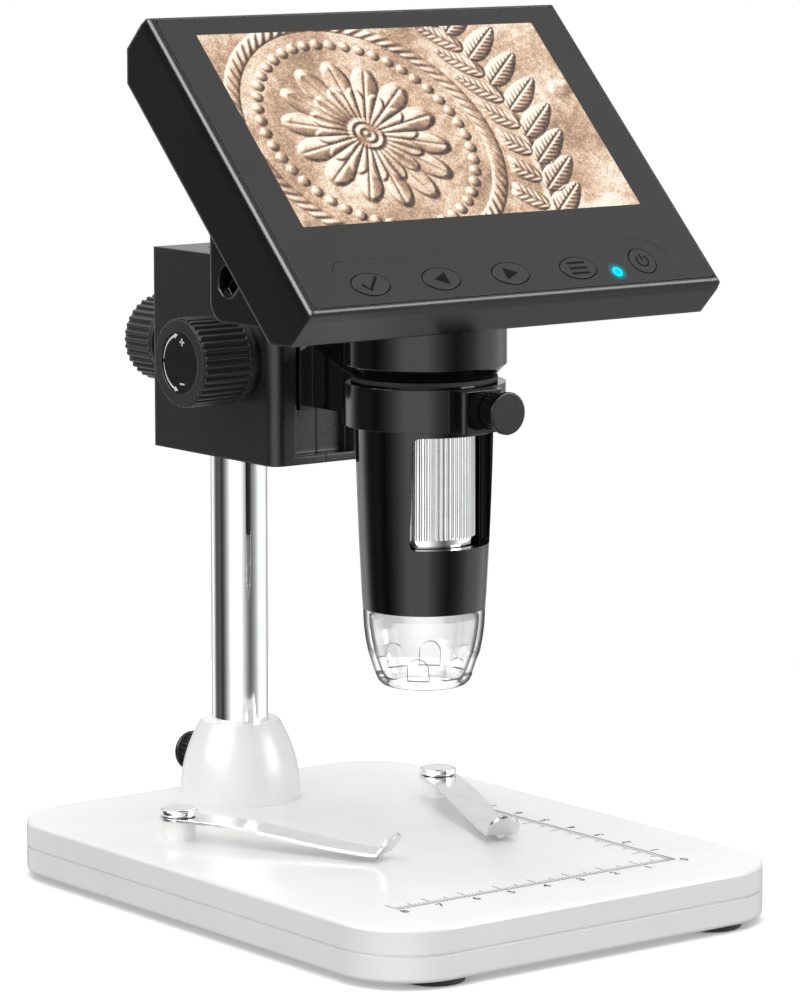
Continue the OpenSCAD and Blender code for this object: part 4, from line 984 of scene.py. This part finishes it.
def studio():
    """Brightness by direction: the dot products with the camera's right and back give the angle
    round the room, a ramp gives the brightness at eye level, and the height of the direction
    blends that to the ceiling and the ground. The ground is brighter in reflections than as
    light."""
    world = bpy.data.worlds.new("studio")
    world.use_nodes = True
    tree = world.node_tree
    tree.nodes.clear()
    way = add(tree, "TexCoord").outputs["Generated"]
    right, back = [add(tree, "VectorMath", {0: way, 1: axis.tolist()},
                       operation="DOT_PRODUCT").outputs["Value"] for axis in (RIGHT, BACK)]
    angle = add(tree, "Math", {0: right, 1: back}, operation="ARCTAN2").outputs["Value"]
    turn = add(tree, "MapRange", {"Value": angle, "From Min": -math.pi,
                                  "From Max": math.pi}).outputs["Result"]
    level = add(tree, "ValToRGB", {"Fac": turn},
                [((a + 180) / 360, grey(value)) for a, value in DOME]).outputs["Color"]
    height = add(tree, "SeparateXYZ", {0: way}).outputs["Z"]
    up, down = [add(tree, "MapRange", {"Value": height, "From Min": start, "From Max": end},
                    interpolation_type="SMOOTHSTEP").outputs["Result"]
                for start, end in ((UP_FROM, UP_TO), (DOWN_FROM, DOWN_TO))]
    high = add(tree, "MixRGB", {"Fac": up, "Color1": level,
                                "Color2": grey(OVERHEAD)}).outputs["Color"]
    path = add(tree, "LightPath").outputs
    ground = add(tree, "MixRGB", {"Fac": path["Is Glossy Ray"], "Color1": grey(BELOW),
                                  "Color2": grey(BELOW_SEEN)}).outputs["Color"]
    light = add(tree, "MixRGB", {"Fac": down, "Color1": high, "Color2": ground}).outputs["Color"]
    room, wall = [add(tree, "Background", {"Color": colour, "Strength": strength})
                  for colour, strength in ((light, DOME_TOP), ((1, 1, 1, 1), 1.0))]
    mix = add(tree, "MixShader", {0: path["Is Camera Ray"], 1: room.outputs["Background"],
                                  2: wall.outputs["Background"]}).outputs["Shader"]
    add(tree, "OutputWorld", {"Surface": mix})
    bpy.context.scene.world = world


studio()
bpy.context.scene.view_settings.view_transform = "Standard"
print("world:", bpy.context.scene.world.name)

# %% [markdown]
# ## Soft boxes
# Four soft boxes help the dome. They could be painted on it too, but small and bright spots there
# come out grainy. Two of them only show as reflections: they draw the bright lines along the edges
# of the black parts. The other two only light the white parts, from overhead and from the front
# left.

# %% Soft boxes
# Name, angle from the camera's side, height (degrees), width and height (m), level, reflection.
BOXES = [
    ("box_left", -56, 34, (1.1, 0.9), 10.0, True),
    ("box_right", 76, 16, (0.62, 0.62), 9.0, True),
    ("box_top", 0, 89, (1.3, 1.3), 1.8, False),
    ("box_front", -35, 22, (1.3, 1.3), 0.42, False),
]
BOX_AWAY, AIM_Z = 1.3, 0.1


def soft_box(name, turn, lift, size, level, glossy):
    """A flat lamp BOX_AWAY metres from the stand, facing it. Its power is level times pi times its
    area, which makes it look as bright as a white wall does at level 1."""
    data = bpy.data.lights.new(name, "AREA")
    data.shape, (data.size, data.size_y) = "RECTANGLE", size
    data.energy = level * math.pi * size[0] * size[1]
    a, e = math.radians(turn), math.radians(lift)
    flat = RIGHT * math.sin(a) + BACK * math.cos(a)
    way = flat * math.cos(e) + np.array([0, 0, math.sin(e)])
    lamp = bpy.data.objects.new(name, data)
    lamp.location = (way * BOX_AWAY + [0, 0, AIM_Z]).tolist()
    lamp.rotation_euler = Vector(way.tolist()).to_track_quat("Z", "Y").to_euler()
    lamp.visible_glossy, lamp.visible_diffuse = glossy, not glossy
    bpy.context.scene.collection.objects.link(lamp)
    lamp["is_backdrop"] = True


for box in BOXES:
    soft_box(*box)
print("soft boxes:", len(BOXES))

# %% [markdown]
# ## The two boxes
# The box of the solids and the box of the dressed model are both measured, and how much the box
# grew is printed: dressing the model must not change its size.

# %% Sizes
dressed_box = [list(corner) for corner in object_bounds()]
grown = (np.array(dressed_box) - np.array(cad_box)) / MM
print("box grew by (mm):", np.round(grown, 3).tolist())
